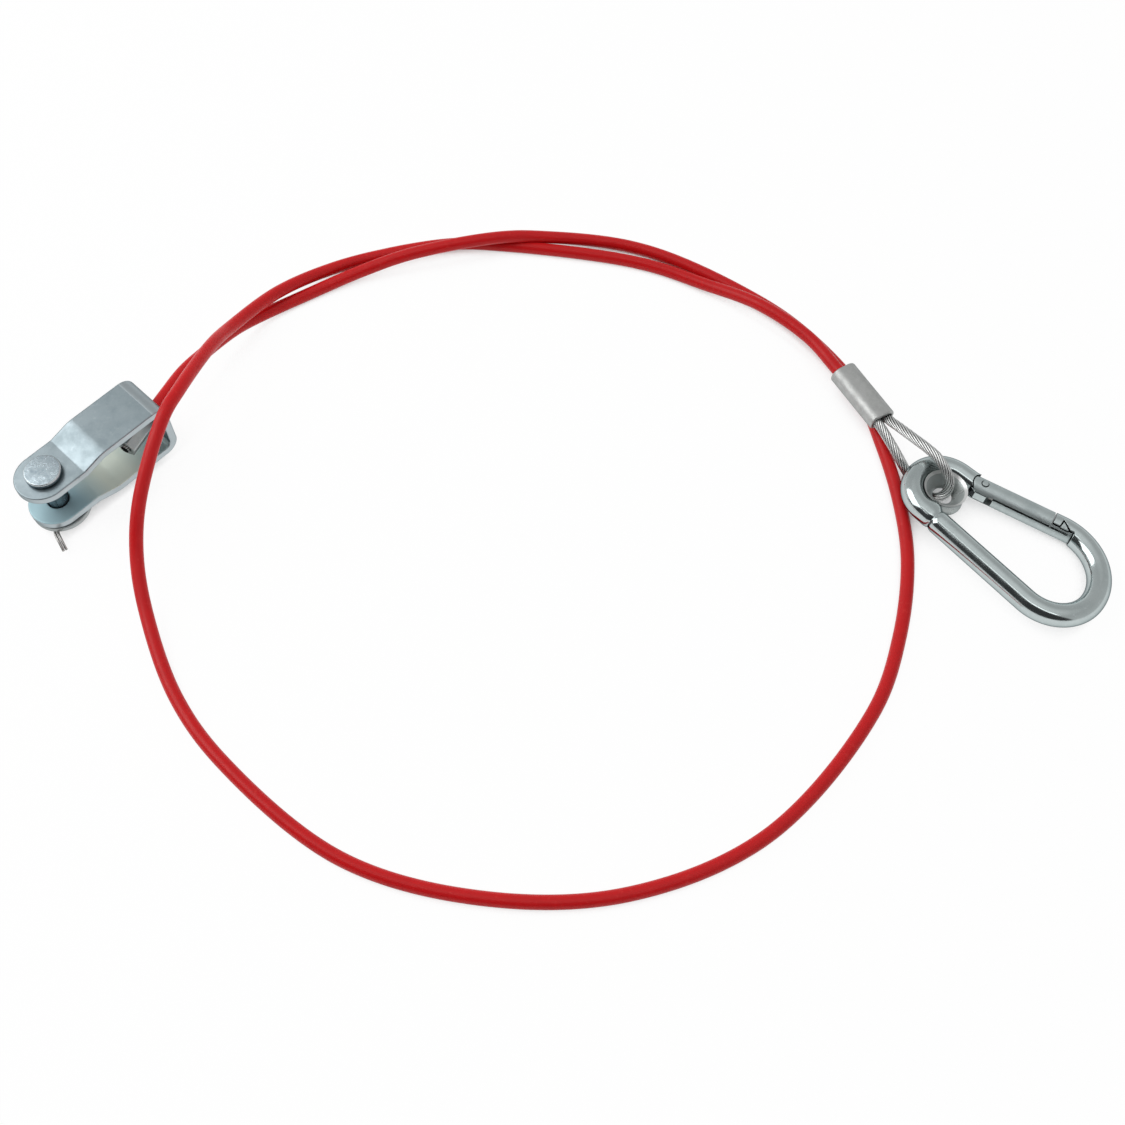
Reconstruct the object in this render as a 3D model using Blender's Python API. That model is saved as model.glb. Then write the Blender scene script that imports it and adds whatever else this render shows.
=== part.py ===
"""Trailer breakaway cable: a plated fork with its pin, a red coated wire rope and a snap hook.

The part lies on a table, as in its photograph: +Z is up, +X runs from the fork to the hook,
and the origin is on the table below the middle of the metal pieces.
All sizes are in millimetres. Blender gets metres.
"""

import math

import bmesh
import bpy
from mathutils import Matrix, Vector

MM = 0.001

# Clearances
GAP = 0.3  # between two pieces that touch on the real object
PIN_PLAY = 0.25  # a pin in its hole, on the radius

# Red cable: a wire rope in a plastic coat
CABLE_R = 2.0
ROPE_R = 1.5

# Fork: one strap bent to a U, with both ears set inwards
STRAP_W = 16.3
STRAP_T = 2.5
EAR_GAP = 11.1  # clear space between the two ears
EAR_TIP = 0.8  # from the pin to the centre of the ear's round end
EAR_STEP = 2.1  # how far an ear is set in from its arm
STEP_NEAR = 8.6  # the set's bend next to the pin
STEP_NEAR_BEND = 4.0
STEP_FAR = 15.4  # the set's bend next to the arm
STEP_FAR_BEND = 10.0
FORK_LENGTH = 38.2  # from the pin to the back of the web
WEB_BEND = 4.5  # outer radius of the two bends at the web
FORK_AT = (-148.7, -4.9, 13.5)  # the pin's axis, midway between the ears
FORK_HEADING = 46.6

# Fork pin with its washer and split pin
PIN_R = 3.0
PIN_HEAD_R = 5.4
PIN_HEAD_H = 1.8
PIN_TAIL = 3.4  # from the washer to the pin's end
PIN_CHAMFER = 0.6
WASHER_R = 8.8
WASHER_T = 1.6
SPLIT_WIRE_R = 0.4
SPLIT_SPREAD = 0.9  # between the middles of the two legs
SPLIT_LEG = 8.0  # from the pin's axis to the bend in both legs
SPLIT_TIP = 7.4  # from the bend to the legs' ends
SPLIT_BEND = 39.0
SPLIT_BEND_R = 5.0
SPLIT_EYE_R = 1.5
SPLIT_HEADING = -144.5  # in the fork's own frame

# Stop that is crimped on the rope inside the fork
STOP_R = 3.3
STOP_LENGTH = 10.0
STOP_CHAMFER = 0.6
STOP_LEAN = 18.0  # the cable's end leans in its hole
ROPE_END = 0.6  # of bare rope past the stop

# Ferrule that closes the rope's eye
FERRULE_W = 8.8
FERRULE_H = 6.0
FERRULE_LENGTH = 21.2
FERRULE_CHAMFER = 0.5
FERRULE_AT = (92.1, 32.6, 7.4)
FERRULE_HEADING = -60.3
LEG_SPREAD = 3.5  # between the middles of the two rope legs in the ferrule

# Snap hook, in its own frame: x along the hook, y to the gate, z up
HOOK_WIRE_R = 3.5
HOOK_EYE_R = 9.4  # middle of the wire round the eyelet
HOOK_FAR = 52.4  # from the eyelet to the middle of the wire at the wide end
SPINE_BEND_R = 13.0  # the wide end's bend into the spine
GATE_BEND_R = 16.6  # the wide end's bend into the nose
HOOK_AT = (112.9, -2.25, 6.8)
HOOK_HEADING = -43.55
HOOK_PITCH = 2.3
HOOK_ROLL = -6.0
EYELET_WALL = 0.7
EYELET_HALF_H = 2.6

# Gate, in its own frame: x from the pivot to the latch, y outwards
GATE_R = 3.4
GATE_ANGLE = 15.0  # from the hook's length
PIVOT_X = 7.4  # along the hook, from the eyelet
GATE_HEEL = 4.0  # round end behind the pivot
GATE_MAIN = 21.9  # from the pivot to the latch's step
GATE_LIP = 7.0  # the lip that reaches past the step, under the nose
LIP_EDGE = -1.6  # the lip's upper edge, from the gate's middle line
TOOTH_AT = 3.2  # from the step to the tooth
TOOTH_LENGTH = 3.0
TOOTH_RISE = 2.9
FORK_SLOT = 3.4  # slot in the gate, across
FORK_SLOT_END = 4.0
SEAM_W = 0.5  # the seam along the rolled gate
SEAM_TURN = 26.0  # from the gate's inner side, upwards
BORE_END = 20.8
TONGUE_T = 2.8
TONGUE_NOSE = 2.2  # from the pivot to the face that the plunger meets
TONGUE_HALF = 2.6
TONGUE_ROOT = 3.0  # from the pivot to the end of the round wire
RIVET_R = 0.95
RIVET_DOME = 0.2

# Plunger and spring in the gate's bore
PLUNGER_R = 1.35
PLUNGER_LENGTH = 5.6
SPRING_LINE = -0.3  # the spring's axis, from the gate's middle line
SPRING_COIL_R = 1.1
SPRING_WIRE_R = 0.25
SPRING_TURNS = 10

# Points on the cable's route, from the fork round to the ferrule
ROUTE = [
    (-116.5, 38.4, 11.5), (-112.8, 45, 10), (-103.8, 58.6, 6.5), (-97, 66.4, 3.6), (-81.8, 76.9, 2.2),
    (-66, 84.5, 3.6), (-49.5, 89.7, 6), (-22, 96, 6.7), (-7, 99.4, 4), (26, 96, 2), (64.5, 72.8, 2),
    (80.5, 56.7, 2), (92.5, 37.7, 2), (97.5, 18.7, 2), (100.7, -2, 2), (101, -22, 2), (95.9, -47.2, 2),
    (85.7, -71.1, 2), (54, -106.3, 2), (17, -121.8, 2), (-21, -122.8, 2), (-58.2, -112.4, 2),
    (-93, -86, 2), (-107.6, -66, 2.3), (-118, -43.5, 5.5), (-121.8, -27.5, 11.5), (-120.6, -13.5, 20),
    (-114.5, 9, 29.8), (-111.4, 19.2, 29), (-106.4, 41.1, 21), (-103, 53.8, 14), (-91, 73.8, 6.8),
    (-76.8, 85.5, 3.4), (-61.5, 92.6, 2.1), (-37, 98, 2), (-22, 97.4, 2), (25.5, 89, 2),
    (46.5, 79.4, 3.2), (63.5, 68.4, 7.2), (78, 55.7, 7.4),
]
ROUTE_STEP = 12.5  # between two points of the cable's line

# Points on the rope's eye round the eyelet: heading, distance from its middle, height
EYE_ROUTE = [
    (116.9, 24.2, 2.45), (115.2, 18.5, 4.35), (110.8, 13.2, 5.65), (103.5, 9, 6.05), (93, 5.7, 5.35),
    (69.5, 3.5, 3.25), (45.3, 2.3, 0.65), (35.4, 0.8, -1.65), (166.3, 1.6, -3.25), (148.1, 4.9, -4.55),
    (137.4, 8.7, -5), (131.2, 12.8, -4.75), (129.8, 16.9, -2.45), (127.3, 21.4, -1),
]
EYE_STEP = 1.6

# Sizes that follow from the ones above
EAR_MID = (EAR_GAP + STRAP_T) / 2
ARM_MID = EAR_MID + EAR_STEP
EAR_OUTER = EAR_MID + STRAP_T / 2
WASHER_TOP = -(EAR_OUTER + GAP)
WASHER_BOTTOM = WASHER_TOP - WASHER_T
SPLIT_LEVEL = WASHER_BOTTOM - GAP - SPLIT_WIRE_R - SPLIT_SPREAD / 2
PIN_END = WASHER_BOTTOM - PIN_TAIL
PIN_HOLE_R = PIN_R + PIN_PLAY
WEB_INNER = FORK_LENGTH - STRAP_T
LEAN_SIN = math.sin(math.radians(STOP_LEAN))
WEB_HALF = STRAP_T / 2 / math.cos(math.radians(STOP_LEAN))
STOP_END = -(WEB_HALF + STOP_R * LEAN_SIN + GAP)  # from the middle of the web, along the leaning rope
STOP_START = STOP_END - STOP_LENGTH
COAT_START = WEB_HALF + CABLE_R * LEAN_SIN + GAP
ROPE_HOLE_R = ROPE_R + GAP
WEB_HOLE_R = ROPE_HOLE_R + STRAP_T * LEAN_SIN
GATE_SIN = math.sin(math.radians(GATE_ANGLE))
GATE_COS = math.cos(math.radians(GATE_ANGLE))
NOSE_X = HOOK_FAR - GATE_BEND_R - GATE_BEND_R * GATE_SIN  # where the gate's line runs into the wide end
NOSE_Y = GATE_BEND_R * GATE_COS
PIVOT_Y = NOSE_Y - (NOSE_X - PIVOT_X) * GATE_SIN / GATE_COS
RIVET_HOLE_R = RIVET_R + PIN_PLAY
PLUNGER_START = TONGUE_NOSE + GAP
SPRING_START = PLUNGER_START + PLUNGER_LENGTH + GAP + SPRING_WIRE_R
SPRING_END = BORE_END - GAP - SPRING_WIRE_R


def clear_scene():
    for obj in list(bpy.data.objects):
        bpy.data.objects.remove(obj)


def finish(name, colour, roughness, metallic):
    """A material with the piece's own colour."""
    material = bpy.data.materials.new(name)
    material.use_nodes = True
    shader = material.node_tree.nodes["Principled BSDF"]
    shader.inputs["Base Color"].default_value = (*colour, 1)
    shader.inputs["Roughness"].default_value = roughness
    shader.inputs["Metallic"].default_value = metallic
    return material


def place(name, data, frame=None, material=None):
    obj = bpy.data.objects.new(name, data)
    bpy.context.scene.collection.objects.link(obj)
    obj.parent = frame
    if material:
        obj.data.materials.clear()
        obj.data.materials.append(material)
    return obj


def frame_at(name, place_mm, heading=0, pitch=0, roll=0, parent=None):
    """An empty that carries pieces: heading turns left, pitch lowers its +X end, roll lifts its +Y side."""
    empty = place(name, None, parent)
    empty.location = Vector(place_mm) * MM
    empty.rotation_euler = [math.radians(angle) for angle in (roll, pitch, heading)]
    bpy.context.view_layer.update()
    return empty


def mesh_of(name, bm):
    """A closed mesh in metres from a bmesh in millimetres."""
    bmesh.ops.recalc_face_normals(bm, faces=bm.faces)
    bmesh.ops.scale(bm, vec=(MM, MM, MM), verts=bm.verts)
    mesh = bpy.data.meshes.new(name)
    bm.to_mesh(mesh)
    bm.free()
    mesh.shade_smooth()
    mesh.set_sharp_from_angle(angle=math.radians(30))
    return mesh


def prism(name, outline, low, high, axis="Z"):
    """An outline extruded from low to high. Across "Z" it lies in XY, across "X" in YZ."""
    bm = bmesh.new()
    turn = Matrix.Identity(3) if axis == "Z" else Matrix(((0, 0, 1), (1, 0, 0), (0, 1, 0)))
    corners = [bm.verts.new(turn @ Vector((u, v, low))) for u, v in outline]
    base = bm.faces.new(corners)
    grown = bmesh.ops.extrude_face_region(bm, geom=[base])
    risen = [item for item in grown["geom"] if isinstance(item, bmesh.types.BMVert)]
    bmesh.ops.translate(bm, vec=turn @ Vector((0, 0, high - low)), verts=risen)
    return mesh_of(name, bm)


def turned(name, profile, steps, axis="Z"):
    """A closed profile of (radius, height) spun a full turn."""
    bm = bmesh.new()
    spin_axis = Vector((0, 0, 1)) if axis == "Z" else Vector((1, 0, 0))
    corners = [Vector((r, 0, h)) if axis == "Z" else Vector((h, 0, r)) for r, h in profile]
    ring = [bm.verts.new(corner) for corner in corners]
    edges = [bm.edges.new((ring[i - 1], ring[i])) for i in range(len(ring))]
    bmesh.ops.spin(
        bm, geom=ring + edges, cent=(0, 0, 0), axis=spin_axis, angle=math.tau, steps=steps, use_merge=True
    )
    bmesh.ops.remove_doubles(bm, verts=bm.verts, dist=1e-4)
    return mesh_of(name, bm)


def rod(radius, low, high, chamfer):
    """A solid round bar's profile, with both end edges broken."""
    return [
        (0, low), (radius - chamfer, low), (radius, low + chamfer),
        (radius, high - chamfer), (radius - chamfer, high), (0, high),
    ]


def tube(name, points, radius, resolution):
    """A round bar that follows points in millimetres, as a curve with filled ends."""
    curve = bpy.data.curves.new(name, "CURVE")
    curve.dimensions = "3D"
    curve.bevel_depth = radius * MM
    curve.bevel_resolution = resolution
    curve.use_fill_caps = True
    spline = curve.splines.new("POLY")
    spline.points.add(len(points) - 1)
    for knot, point in zip(spline.points, points):
        knot.co = (*(Vector(point) * MM), 1)
    spline.use_smooth = True
    return curve


def solid_tube(name, points, radius, resolution):
    """The same bar as a closed mesh, ready for cuts."""
    guide = place(name + "_guide", tube(name, points, radius, resolution))
    mesh = bpy.data.meshes.new_from_object(guide.evaluated_get(bpy.context.evaluated_depsgraph_get()))
    bpy.data.objects.remove(guide)
    bm = bmesh.new()
    bm.from_mesh(mesh)
    bmesh.ops.remove_doubles(bm, verts=bm.verts, dist=1e-7)
    bmesh.ops.scale(bm, vec=(1 / MM, 1 / MM, 1 / MM), verts=bm.verts)
    return mesh_of(name, bm)


def cut(obj, mesh, operation="DIFFERENCE", frame=None):
    """Cuts, joins or keeps what a second solid shares with a piece."""
    tool = place(f"{obj.name}_{operation.lower()}_{len(obj.modifiers)}", mesh, frame or obj.parent)
    tool.hide_render = True
    tool.display_type = "WIRE"
    modifier = obj.modifiers.new(tool.name, "BOOLEAN")
    modifier.operation = operation
    modifier.solver = "EXACT"
    modifier.object = tool
    return modifier


def arc(centre, radius, start, end, steps):
    """Points on an arc, angles in degrees."""
    turns = [math.radians(start + (end - start) * i / steps) for i in range(steps + 1)]
    return [(centre[0] + radius * math.cos(t), centre[1] + radius * math.sin(t)) for t in turns]


def circle(radius, steps, centre=(0, 0)):
    return arc(centre, radius, 0, 360, steps)[:-1]


def rounded(corners, steps):
    """A line of (x, y, bend radius) with each bend made an arc."""
    line = [corners[0][:2]]
    for before, corner, after in zip(corners, corners[1:], corners[2:]):
        here = Vector(corner[:2])
        back = (Vector(before[:2]) - here).normalized()
        ahead = (Vector(after[:2]) - here).normalized()
        half = back.angle(ahead) / 2
        reach = corner[2] / math.tan(half)
        middle = here + (back + ahead).normalized() * corner[2] / math.sin(half)
        first = here + back * reach - middle
        last = here + ahead * reach - middle
        for i in range(steps + 1):
            line.append(tuple(middle + first.slerp(last, i / steps).normalized() * corner[2]))
    line.append(corners[-1][:2])
    return line


def offset(line, distance):
    """The line moved sideways to its left, with square corners kept."""
    moved = []
    for i, point in enumerate(line):
        here = Vector(point)
        legs = []
        if i > 0:
            legs.append((here - Vector(line[i - 1])).normalized())
        if i < len(line) - 1:
            legs.append((Vector(line[i + 1]) - here).normalized())
        sides = [Vector((-leg.y, leg.x)) for leg in legs]
        middle = (sides[0] + sides[-1]).normalized()
        moved.append(tuple(here + middle * distance / middle.dot(sides[0])))
    return moved


def smooth_line(points, step, floor):
    """Evenly spaced points on a smooth curve through the given ones, none of them below the floor."""
    knots = [Vector(p) for p in points]
    knots = [2 * knots[0] - knots[1], *knots, 2 * knots[-1] - knots[-2]]
    fine = []
    for p0, p1, p2, p3 in zip(knots, knots[1:], knots[2:], knots[3:]):
        t1 = math.sqrt((p1 - p0).length)
        t2 = t1 + math.sqrt((p2 - p1).length)
        t3 = t2 + math.sqrt((p3 - p2).length)
        for i in range(20):
            t = t1 + (t2 - t1) * i / 20
            a1 = p0.lerp(p1, t / t1)
            a2 = p1.lerp(p2, (t - t1) / (t2 - t1))
            a3 = p2.lerp(p3, (t - t2) / (t3 - t2))
            b1 = a1.lerp(a2, t / t2)
            b2 = a2.lerp(a3, (t - t1) / (t3 - t1))
            fine.append(b1.lerp(b2, (t - t1) / (t2 - t1)))
    fine.append(knots[-2])
    for point in fine:
        point.z = max(point.z, floor)
    length = sum((b - a).length for a, b in zip(fine, fine[1:]))
    count = round(length / step)
    line = [fine[0]]
    walked = 0
    for a, b in zip(fine, fine[1:]):
        span = (b - a).length
        while len(line) < count and walked + span >= length * len(line) / count:
            line.append(a.lerp(b, (length * len(line) / count - walked) / span))
        walked += span
    line.append(fine[-1])
    return line


def fork(frame, material):
    """One strap, bent to a U and set in at both ears, with the pin's holes and the rope's hole."""
    tip = -(EAR_TIP + STRAP_W / 2)
    web = FORK_LENGTH - STRAP_T / 2
    web_bend = WEB_BEND - STRAP_T / 2
    half = [
        (tip, EAR_MID, 0), (STEP_NEAR, EAR_MID, STEP_NEAR_BEND),
        (STEP_FAR, ARM_MID, STEP_FAR_BEND), (web, ARM_MID, web_bend),
    ]
    middle = rounded(half + [(x, -z, bend) for x, z, bend in reversed(half)], 4)
    outline = offset(middle, STRAP_T / 2) + offset(middle, -STRAP_T / 2)[::-1]
    bm = bmesh.new()
    side = [bm.verts.new((x, -STRAP_W / 2, z)) for x, z in outline]
    grown = bmesh.ops.extrude_face_region(bm, geom=[bm.faces.new(side)])
    far = [item for item in grown["geom"] if isinstance(item, bmesh.types.BMVert)]
    bmesh.ops.translate(bm, vec=(0, STRAP_W, 0), verts=far)
    obj = place("fork", mesh_of("fork", bm), frame, material)
    tall = ARM_MID + 2 * STRAP_T
    beyond = FORK_LENGTH + STRAP_T
    wide = STRAP_W / 2 + STRAP_T
    ear = arc((-EAR_TIP, 0), STRAP_W / 2, 90, 270, 20)
    square = [
        (STEP_NEAR, -STRAP_W / 2), (STEP_NEAR, -wide), (beyond, -wide),
        (beyond, wide), (STEP_NEAR, wide), (STEP_NEAR, STRAP_W / 2),
    ]
    cut(obj, prism("fork_plan", ear + square, -tall, tall), "INTERSECT")
    cut(obj, prism("fork_pin_hole", circle(PIN_HOLE_R, 24), -tall, tall))
    cut(obj, prism("fork_rope_hole", circle(WEB_HOLE_R, 16), WEB_INNER - STRAP_T, beyond, "X"))


def fork_pin(frame, material):
    """Headed pin with a chamfered end and a cross hole for the split pin."""
    under_head = EAR_OUTER + GAP
    top = under_head + PIN_HEAD_H
    edge = PIN_CHAMFER / 2
    profile = [
        (0, PIN_END), (PIN_R - PIN_CHAMFER, PIN_END), (PIN_R, PIN_END + PIN_CHAMFER), (PIN_R, under_head),
        (PIN_HEAD_R - edge, under_head), (PIN_HEAD_R, under_head + edge), (PIN_HEAD_R, top - PIN_CHAMFER),
        (PIN_HEAD_R - PIN_CHAMFER, top), (0, top),
    ]
    obj = place("fork_pin", turned("fork_pin", profile, 28), frame, material)
    hole = circle(SPLIT_SPREAD / 2 + SPLIT_WIRE_R + GAP, 14)
    cutter = prism("fork_pin_cross_hole", hole, -2 * PIN_R, 2 * PIN_R, "X")
    cut(obj, cutter, frame=frame_at("split_pin_axis", (0, 0, SPLIT_LEVEL), SPLIT_HEADING, parent=frame))


def fork_washer(frame, material):
    inner = PIN_HOLE_R
    profile = [(inner, WASHER_BOTTOM), (WASHER_R, WASHER_BOTTOM), (WASHER_R, WASHER_TOP), (inner, WASHER_TOP)]
    place("fork_washer", turned("fork_washer", profile, 32), frame, material)


def split_pin(frame, material):
    """One wire, doubled back round its eye, with both legs through the pin."""
    side = SPLIT_SPREAD / 2
    eye_x = -(PIN_R + GAP + SPLIT_EYE_R + SPLIT_WIRE_R)
    open_angle = math.degrees(math.asin(side / SPLIT_EYE_R))
    bend = math.radians(SPLIT_BEND)
    tip = (SPLIT_LEG + SPLIT_TIP * math.cos(bend), SPLIT_TIP * math.sin(bend), 0)
    middle = rounded([(0, 0, 0), (SPLIT_LEG, 0, SPLIT_BEND_R), tip], 4)
    eye = arc((eye_x, 0), SPLIT_EYE_R, open_angle, 360 - open_angle, 18)
    line = [(x, y, 0) for x, y in offset(middle, side)[::-1] + eye + offset(middle, -side)]
    mount = frame_at("split_pin_frame", (0, 0, SPLIT_LEVEL), SPLIT_HEADING, parent=frame)
    place("split_pin", tube("split_pin", line, SPLIT_WIRE_R, 1), mount, material)


def cable_end(frame, plated, rope):
    """The bare rope through the web, with the stop that is crimped on it."""
    edge = STOP_R - STOP_CHAMFER
    profile = [
        (ROPE_HOLE_R, STOP_START), (edge, STOP_START), (STOP_R, STOP_START + STOP_CHAMFER),
        (STOP_R, STOP_END - STOP_CHAMFER), (edge, STOP_END), (ROPE_HOLE_R, STOP_END),
    ]
    place("cable_stop", turned("cable_stop", profile[::-1], 20, "X"), frame, plated)
    stub = rod(ROPE_R, STOP_START - ROPE_END, COAT_START - GAP, ROPE_R / 5)
    place("cable_stub", turned("cable_stub", stub[::-1], 12, "X"), frame, rope)


def cable(end_frame, ferrule_frame, material):
    """The red cable on its smooth route, from the fork's web to the ferrule."""
    from_fork = [Vector((COAT_START + lead, 0, 0)) * MM for lead in (0, 2 * CABLE_R)]
    start, lead = [end_frame.matrix_world @ point / MM for point in from_fork]
    end = ferrule_frame.matrix_world @ Vector((-(FERRULE_LENGTH / 2 + GAP) * MM, 0, 0)) / MM
    line = [start, *smooth_line([lead, *ROUTE, end], ROUTE_STEP, CABLE_R)]
    place("cable", tube("cable", line, CABLE_R, 3), None, material)


def stadium(width, height, steps):
    """A flat-sided oval."""
    centre = (width - height) / 2
    return arc((centre, 0), height / 2, -90, 90, steps) + arc((-centre, 0), height / 2, 90, 270, steps)


def ferrule(frame, material):
    """A pressed oval sleeve round both rope legs, with its end edges broken."""
    half = FERRULE_LENGTH / 2
    shrink = 2 * FERRULE_CHAMFER
    rims = [(-half, shrink), (FERRULE_CHAMFER - half, 0), (half - FERRULE_CHAMFER, 0), (half, shrink)]
    bm = bmesh.new()
    rings = []
    for x, less in rims:
        oval = stadium(FERRULE_W - less, FERRULE_H - less, 8)
        rings.append([bm.verts.new((x, y, z)) for y, z in oval])
    for ring, ahead in zip(rings, rings[1:]):
        for i in range(len(ring)):
            bm.faces.new((ring[i - 1], ring[i], ahead[i], ahead[i - 1]))
    bm.faces.new(rings[0])
    bm.faces.new(rings[-1])
    obj = place("ferrule", mesh_of("ferrule", bm), frame, material)
    passage = stadium(LEG_SPREAD + 2 * ROPE_HOLE_R, 2 * ROPE_HOLE_R, 6)
    cut(obj, prism("ferrule_passage", passage, -half - GAP, half + GAP, "X"))


def eye_rope(frame, material):
    """The bare rope's eye: over the hook's wire, down the eyelet and back below the wire."""
    half = FERRULE_LENGTH / 2
    side = LEG_SPREAD / 2
    start = ROPE_END - half
    legs = [(start, side, 0), (half, side, 0), (half, -side, 0), (start, -side, 0)]
    inside, out, back, tail = [frame.matrix_world @ (Vector(leg) * MM) / MM for leg in legs]
    loop = [
        Vector(HOOK_AT) + Vector((r * math.cos(math.radians(turn)), r * math.sin(math.radians(turn)), height))
        for turn, r, height in EYE_ROUTE
    ]
    knots = [inside, inside.lerp(out, 0.6), out, *loop, back, back.lerp(tail, 0.4), tail]
    line = smooth_line(knots, EYE_STEP, ROPE_R)
    place("eye_rope", solid_tube("eye_rope", line, ROPE_R, 3), None, material)


def latch_edge():
    """The gate's stepped end with its tooth, from the outer side to the lip's tip."""
    tip = GATE_MAIN + GATE_LIP
    tooth = GATE_MAIN + TOOTH_AT
    return [
        (GATE_MAIN, 2 * GATE_R), (GATE_MAIN, LIP_EDGE), (tooth - GAP, LIP_EDGE),
        (tooth, LIP_EDGE + TOOTH_RISE), (tooth + TOOTH_LENGTH, LIP_EDGE), (tip, LIP_EDGE), (tip, -2 * GATE_R),
    ]


def hook_line():
    """The middle line of the hook's wire, from the nose round the wide end and the eye to the pivot."""
    spine_centre = HOOK_FAR - SPINE_BEND_R
    tilt = math.degrees(math.asin((SPINE_BEND_R - HOOK_EYE_R) / spine_centre))
    nose = GATE_MAIN - GATE_R
    start = (PIVOT_X + nose * GATE_COS, PIVOT_Y + nose * GATE_SIN)
    upper = arc((HOOK_FAR - GATE_BEND_R, 0), GATE_BEND_R, 90 + GATE_ANGLE, 0, 12)
    lower = arc((spine_centre, 0), SPINE_BEND_R, 0, -90 - tilt, 12)
    to_pivot = math.atan2(PIVOT_Y, PIVOT_X) + math.acos(HOOK_EYE_R / math.hypot(PIVOT_X, PIVOT_Y))
    eye = arc((0, 0), HOOK_EYE_R, -90 - tilt, math.degrees(to_pivot) - 360, 20)
    end = (PIVOT_X - TONGUE_ROOT * math.sin(to_pivot), PIVOT_Y + TONGUE_ROOT * math.cos(to_pivot))
    return [(x, y, 0) for x, y in [start, *upper, *lower[1:], *eye, end]]


def hook_body(frame, gate_frame, material):
    """One bent wire. Its nose is notched for the gate, and its other end is a flat tongue on the rivet."""
    obj = place("hook_body", solid_tube("hook_body", hook_line(), HOOK_WIRE_R, 6), frame, material)
    tall = 2 * HOOK_WIRE_R
    tongue = [
        (-GATE_HEEL, -TONGUE_HALF / 2), (-TONGUE_HALF / 2, -TONGUE_HALF), (TONGUE_NOSE - GAP, -TONGUE_HALF),
        (TONGUE_NOSE, GAP - TONGUE_HALF), (TONGUE_NOSE, TONGUE_HALF / 4), (TONGUE_NOSE / 2, TONGUE_HALF),
        (-GATE_HEEL - 1, TONGUE_HALF),
    ]
    cut(obj, prism("tongue", tongue, -TONGUE_T, TONGUE_T), "UNION", gate_frame)
    heel = circle(GATE_HEEL + GAP, 32)
    cut(obj, prism("heel_above", heel, TONGUE_T / 2, tall), "DIFFERENCE", gate_frame)
    cut(obj, prism("heel_below", heel, -tall, -TONGUE_T / 2), "DIFFERENCE", gate_frame)
    cut(obj, prism("rivet_hole", circle(RIVET_HOLE_R, 16), -tall, tall), "DIFFERENCE", gate_frame)
    clear = offset(latch_edge(), GAP)
    behind = GATE_MAIN - 2 * GATE_R
    room = [(behind, 2 * GATE_R), *clear, (behind, -2 * GATE_R)]
    cut(obj, prism("latch_room", room, -tall, tall), "DIFFERENCE", gate_frame)


def hook_eyelet(frame, material):
    """A flared ring that follows the wire round the eye, so that its two rims hold it there."""
    outer = HOOK_WIRE_R + GAP
    inner = outer + EYELET_WALL
    heights = [EYELET_HALF_H * i / 4 for i in range(-4, 5)]
    barrel = [(HOOK_EYE_R - math.sqrt(outer**2 - (0.9 * h) ** 2), 0.9 * h) for h in heights]
    bore = [(HOOK_EYE_R - math.sqrt(inner**2 - h**2), h) for h in heights]
    place("hook_eyelet", turned("hook_eyelet", barrel + bore[::-1], 32), frame, material)


def hook_gate(frame, material):
    """A rolled bar: a fork at the pivot, a bore for the spring, a seam and a toothed lip at the latch."""
    tip = GATE_MAIN + GATE_LIP
    tall = 2 * GATE_R
    heel = arc((0, 0), GATE_HEEL, 90, 270, 16)
    bar = turned("hook_gate", rod(GATE_R, -GATE_HEEL - 1, tip + 1, GAP)[::-1], 24, "X")
    obj = place("hook_gate", bar, frame, material)
    outline = [*heel, (0, -tall), *latch_edge()[::-1], (0, tall)]
    cut(obj, prism("gate_plan", outline, -tall, tall), "INTERSECT")
    slot = FORK_SLOT / 2
    fork_slot = [(-tall, -tall), (FORK_SLOT_END, -tall), (FORK_SLOT_END, tall), (-tall, tall)]
    cut(obj, prism("gate_fork_slot", fork_slot, -slot, slot))
    bore = circle(PLUNGER_R + GAP, 16, (SPRING_LINE, 0))
    cut(obj, prism("gate_bore", bore, 0, BORE_END, "X"))
    turn = math.radians(SEAM_TURN)
    outwards = Vector((-math.cos(turn), math.sin(turn)))
    beside = Vector((math.sin(turn), math.cos(turn))) * SEAM_W / 2
    seam = [beside, beside + outwards * tall, outwards * tall - beside, -beside]
    cut(obj, prism("gate_seam", seam, 0, BORE_END, "X"))
    cut(obj, prism("gate_rivet_hole", circle(RIVET_HOLE_R, 16), -tall, tall))


def gate_rivet(frame, material):
    end = GATE_R + RIVET_DOME
    place("gate_rivet", turned("gate_rivet", rod(RIVET_R, -end, end, RIVET_DOME), 14), frame, material)


def gate_plunger(frame, material):
    mount = frame_at("plunger_axis", (0, SPRING_LINE, 0), parent=frame)
    profile = rod(PLUNGER_R, PLUNGER_START, PLUNGER_START + PLUNGER_LENGTH, PLUNGER_R / 4)
    place("gate_plunger", turned("gate_plunger", profile[::-1], 14, "X"), mount, material)


def gate_spring(frame, material):
    """An open coil between the plunger and the bore's end."""
    mount = frame_at("spring_axis", (0, SPRING_LINE, 0), parent=frame)
    steps = SPRING_TURNS * 10
    line = []
    for i in range(steps + 1):
        turn = math.tau * SPRING_TURNS * i / steps
        along = SPRING_START + (SPRING_END - SPRING_START) * i / steps
        line.append((along, SPRING_COIL_R * math.cos(turn), SPRING_COIL_R * math.sin(turn)))
    place("gate_spring", tube("gate_spring", line, SPRING_WIRE_R, 1), mount, material)


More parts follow.
